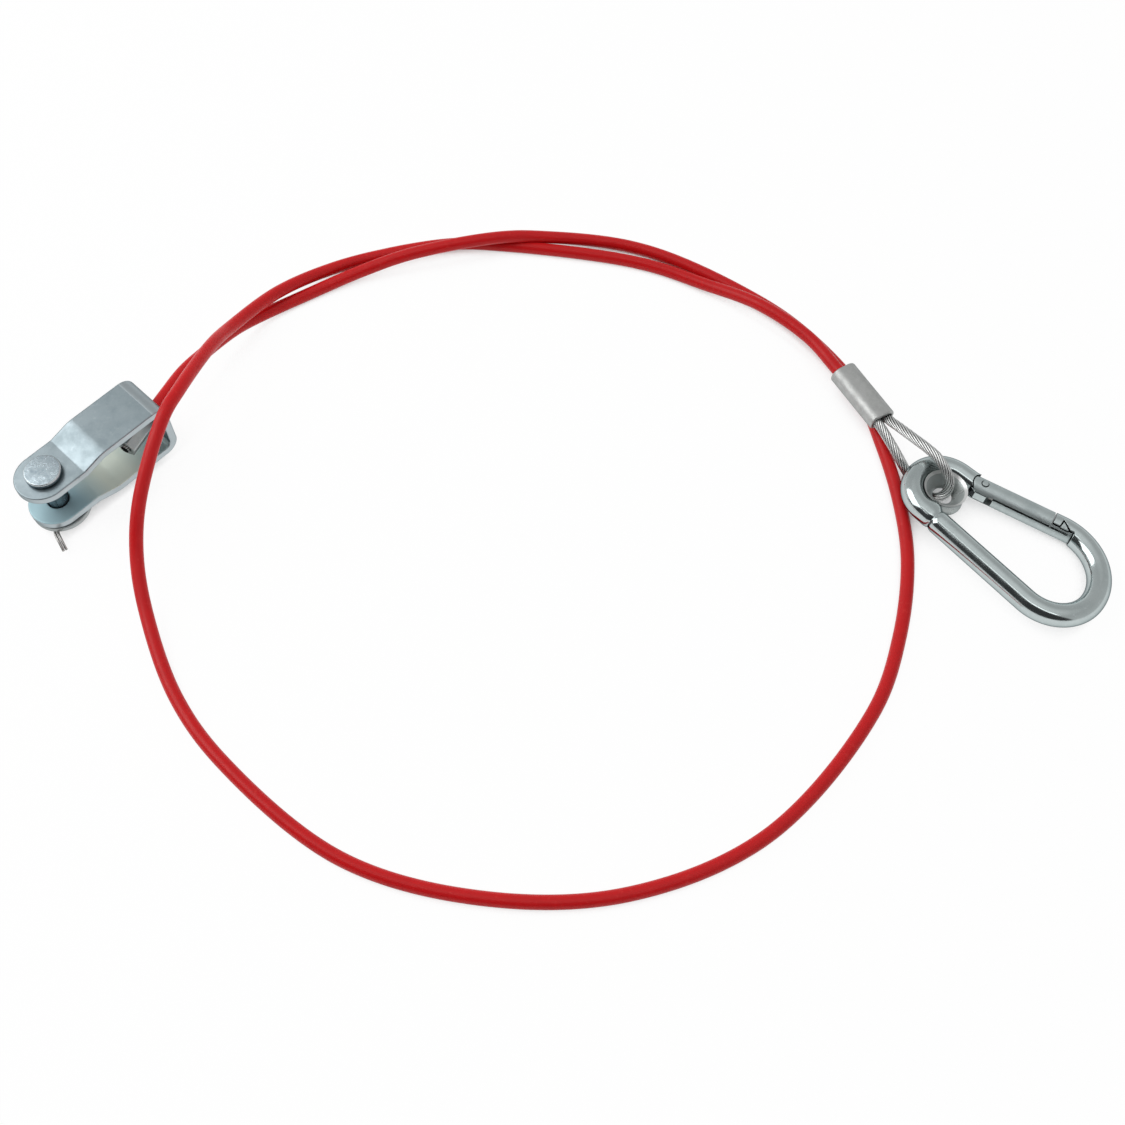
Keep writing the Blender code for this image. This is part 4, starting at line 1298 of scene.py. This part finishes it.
class CABLE_OT_hook(bpy.types.Operator):
    """The snap hook's bent wire with its eyelet and rivet"""

    bl_idname = "cable.hook"
    bl_label = "Snap hook"

    def execute(self, context):
        hook, gate = sizes(context, "hook_sizes", "gate_sizes")
        at_hook = hook_frame(hook)
        at_gate = gate_local(hook, gate)
        line, joint = self.line(hook, gate)
        tall = 2 * hook.wire
        tongue = [
            (-gate.heel, -gate.tongue_half / 2), (-gate.tongue_half / 2, -gate.tongue_half),
            (gate.tongue_nose - GAP, -gate.tongue_half), (gate.tongue_nose, GAP - gate.tongue_half),
            (gate.tongue_nose, gate.tongue_half / 4), (gate.tongue_nose / 2, gate.tongue_half),
            (-gate.heel - 1, gate.tongue_half),
        ]
        heel = circle(gate.heel + GAP, 72)
        behind = gate.main - 2 * gate.radius
        room = [(behind, tall), *offset(latch_edge(gate), gate.latch_gap), (behind, -tall)]
        thick = gate.tongue_thick
        cuts = [
            ("UNION", prism(tongue, -thick, thick)),
            ("DIFFERENCE", prism(heel, thick / 2, tall)),
            ("DIFFERENCE", prism(heel, -tall, -thick / 2)),
            ("DIFFERENCE", prism(circle(gate.rivet + PIN_PLAY, 32), -tall, tall)),
            ("DIFFERENCE", prism(room, -tall, tall)),
        ]
        for _, solid in cuts:
            solid.transform(at_gate)
        body = carve(wire(line, hook.wire, 56, self.pinch(line, joint)), cuts, edge=0.1)
        middle = KDTree(len(line))
        for i, point in enumerate(line):
            middle.insert((*point, 0), i)
        middle.balance()
        from_pivot = at_gate.inverted()
        tip = gate.main + gate.lip - GAP

        def depth(point):
            return 0 if (from_pivot @ point).x > tip else hook.wire - middle.find(point)[2]

        # Painted shade on the upright walls that lie deep inside the wire, as in the latch's room.
        mark_cut_shade(body, depth)
        skin = finish(context, "hook_zinc")
        show("snap_hook", body, at_hook, "hook", "hook_body", skin)
        self.eyelet(context, hook, at_hook)
        end = gate.radius + gate.rivet_dome
        rivet = turned(rod(gate.rivet, -end, end, gate.rivet_dome), 40)
        dull = finish(context, "gate_zinc")
        show("rivet", rivet, at_hook @ at_gate, "hook", "gate_rivet", dull)
        return {"FINISHED"}

    def line(self, hook, gate):
        """The wire's middle line from the nose to the pivot, and where the spine meets the eye."""
        spine = hook.far - hook.spine_bend
        tilt = math.degrees(math.asin((hook.spine_bend - hook.eye) / spine))
        pivot = pivot_of(hook, gate)
        ahead = Vector((math.cos(gate.turn), math.sin(gate.turn)))
        start = pivot + ahead * (gate.main - gate.radius)
        upper = arc((hook.far - hook.gate_bend, 0), hook.gate_bend, 90 + math.degrees(gate.turn), 0, 40)
        lower = arc((spine, 0), hook.spine_bend, 0, -90 - tilt, 36)
        to_pivot = math.atan2(pivot.y, pivot.x) + math.acos(hook.eye / pivot.length)
        eye = arc((0, 0), hook.eye, -90 - tilt, math.degrees(to_pivot) - 360, 90)
        end = pivot + Vector((-math.sin(to_pivot), math.cos(to_pivot))) * gate.tongue_root
        straight = [tuple(Vector(lower[-1]).lerp(Vector(eye[0]), i / 60)) for i in range(1, 60)]
        line = [tuple(start), *upper, *lower[1:], *straight, *eye, tuple(end)]
        return line, len(line) - len(eye) - 1

    def pinch(self, line, joint):
        """A nip in the wire where the eye was closed on the spine, with a swelling beside it."""
        walked = [0.0]
        for a, b in zip(line, line[1:]):
            walked.append(walked[-1] + math.dist(a, b))

        def bump(at, height, before, long):
            return height * math.exp(-(((at + before) / long) ** 2))

        def swell(i, across):
            at = walked[i] - walked[joint]
            inner = max(0.0, -across) ** 1.5
            return bump(at, 1.1, 2.0, 2.2) * inner - bump(at, 0.5, 4.6, 0.6)

        return swell

    def eyelet(self, context, hook, at_hook):
        """A flared ring with a painted highlight on its lip and painted shade in its throat."""
        outer = hook.wire + GAP
        half = hook.eyelet_half
        steps = 12
        heights = [half * i / steps for i in range(-steps, steps + 1)]
        share = 0.9  # the barrel's height, as a share of the bore's
        barrel = [(hook.eye - math.sqrt(outer**2 - (share * h) ** 2), share * h) for h in heights]
        rim = barrel[0][0] + hook.eyelet_wall / 4
        bore = []
        for h in heights:
            rise = (h - hook.waist) / (half - hook.waist if h > hook.waist else half + hook.waist)
            flare = rim - hook.throat if h > hook.waist else 1.0
            bore.append((hook.throat + flare * abs(rise) ** 1.5, h))
        ring = turned(barrel + bore[::-1], 96)
        ring.set_sharp_from_angle(angle=math.radians(40))

        # Painted shade: faces inside the ring get darker the deeper they lie in the throat.
        def shade(face):
            inwards = face.normal.x * face.center.x + face.normal.y * face.center.y < 0
            return max(0.0, min(0.8, -1.2 - 3 * face.center.z / half)) if inwards else 0.0

        mark(ring, "cut", shade)
        # Painted highlight on the top of the lip.
        lip = rim - hook.eyelet_wall
        mark(ring, "painted_highlight", lambda face: float(face.center.xy.length > lip and face.center.z > half / 2))
        skin = finish(context, "eyelet_zinc")
        show("eyelet_ring", ring, at_hook, "hook", "hook_eyelet", skin)


class CABLE_OT_gate(bpy.types.Operator):
    """The hook's gate with its plunger, and the spring that the plunger presses"""

    bl_idname = "cable.gate"
    bl_label = "Gate"

    def execute(self, context):
        hook, gate = sizes(context, "hook_sizes", "gate_sizes")
        at_gate = hook_frame(hook) @ gate_local(hook, gate)
        tip = gate.main + gate.lip
        tall = 2 * gate.radius
        half = gate.slot / 2
        plan = [
            *arc((0, 0), gate.heel, 90, 270, 40), (0, -tall), *latch_edge(gate)[::-1], (0, tall),
        ]
        slot = [(-tall, -tall), (gate.slot_end, -tall), (gate.slot_end, tall), (-tall, tall)]
        bore = circle(gate.plunger + GAP, 40, (gate.spring_line, 0))
        foot = gate.main + gate.tooth_at
        under_tooth = [
            (foot - GAP, gate.lip_edge - GAP / 2), (foot + gate.tooth_long, gate.lip_edge - GAP / 2),
            (foot + gate.tooth_long, gate.lip_edge + GAP / 2), (foot - GAP, gate.lip_edge + GAP / 2),
        ]
        outwards = Vector((-math.cos(gate.seam_turn), math.sin(gate.seam_turn)))
        beside = Vector((outwards.y, -outwards.x)) * gate.seam / 2
        seam = [beside, beside + outwards * tall, outwards * tall - beside, -beside]
        bar = turned(rod(gate.radius, -gate.heel - 1, tip + 1, GAP)[::-1], 72, "X")
        mesh = carve(
            bar,
            [
                ("INTERSECT", prism(plan, -tall, tall)),
                ("DIFFERENCE", prism(slot, -half, half)),
                ("DIFFERENCE", prism(bore, 0, gate.bore_end, "X")),
                ("DIFFERENCE", prism(seam, gate.slot_end - GAP, gate.seam_end, "X")),
                ("DIFFERENCE", prism(circle(gate.rivet + PIN_PLAY, 32), -tall, tall)),
                ("DIFFERENCE", prism(under_tooth, gate.radius / 4, tall)),
            ],
            edge=0.07,
        )
        # Painted shade on the upright walls that lie deep inside the gate's bar.
        mark_cut_shade(mesh, lambda point: 0 if point.x > tip - GAP else gate.radius - math.hypot(point.y, point.z))
        skin = finish(context, "gate_zinc")
        show("snap_gate", mesh, at_gate, "gate", "hook_gate", skin)
        on_line = at_gate @ Matrix.Translation((0, gate.spring_line, 0))
        start = gate.tongue_nose + GAP
        rear = start + gate.plunger_long
        plunger = turned(rod(gate.plunger, start, rear, gate.plunger / 4)[::-1], 40, "X")
        steel = finish(context, "drawn_steel")
        show("plunger", plunger, on_line, "plunger", "gate_plunger", steel)
        low = rear + GAP + gate.coil_wire
        high = gate.bore_end - GAP - gate.coil_wire
        seed = loose_object("spring_seed", bpy.data.meshes.new("spring_seed"))
        spring = grown_mesh(
            "coil_spring", seed, once("Coil spring", coil_spring_tree),
            {
                "Coil radius": gate.coil, "Wire radius": gate.coil_wire, "Turns": float(gate.coils),
                "Height": high - low, "Steps": 24, "Sides": 10, "Material": steel,
            },
        )
        upright = Matrix.Translation((low, 0, 0)) @ Matrix.Rotation(math.pi / 2, 4, "Y")
        piece = show("coil_spring", spring, on_line @ upright, "gate", "gate_spring", steel)
        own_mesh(piece)
        return {"FINISHED"}


class CABLE_PT_panel(bpy.types.Panel):
    """Every piece of the breakaway cable"""

    bl_idname = "CABLE_PT_panel"
    bl_label = "Breakaway cable"
    bl_space_type = "VIEW_3D"
    bl_region_type = "UI"
    bl_category = "Cable"

    def draw(self, context):
        for step in OPERATORS:
            self.layout.operator(step.bl_idname)


OPERATORS = [
    CABLE_OT_stage, CABLE_OT_red_cable, CABLE_OT_fork, CABLE_OT_fork_pin, CABLE_OT_cable_end,
    CABLE_OT_ferrule, CABLE_OT_rope_eye, CABLE_OT_hook, CABLE_OT_gate,
]


def register():
    for kind in [*GROUPS.values(), *OPERATORS, CABLE_PT_panel]:
        bpy.utils.register_class(kind)
    for name, kind in GROUPS.items():
        setattr(bpy.types.Scene, name, PointerProperty(type=kind))


def unregister():
    for name in GROUPS:
        delattr(bpy.types.Scene, name)
    for kind in reversed([*GROUPS.values(), *OPERATORS, CABLE_PT_panel]):
        bpy.utils.unregister_class(kind)


def main():
    register()
    for step in OPERATORS:
        family, name = step.bl_idname.split(".")
        getattr(getattr(bpy.ops, family), name)()
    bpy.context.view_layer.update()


if __name__ == "__main__":
    main()
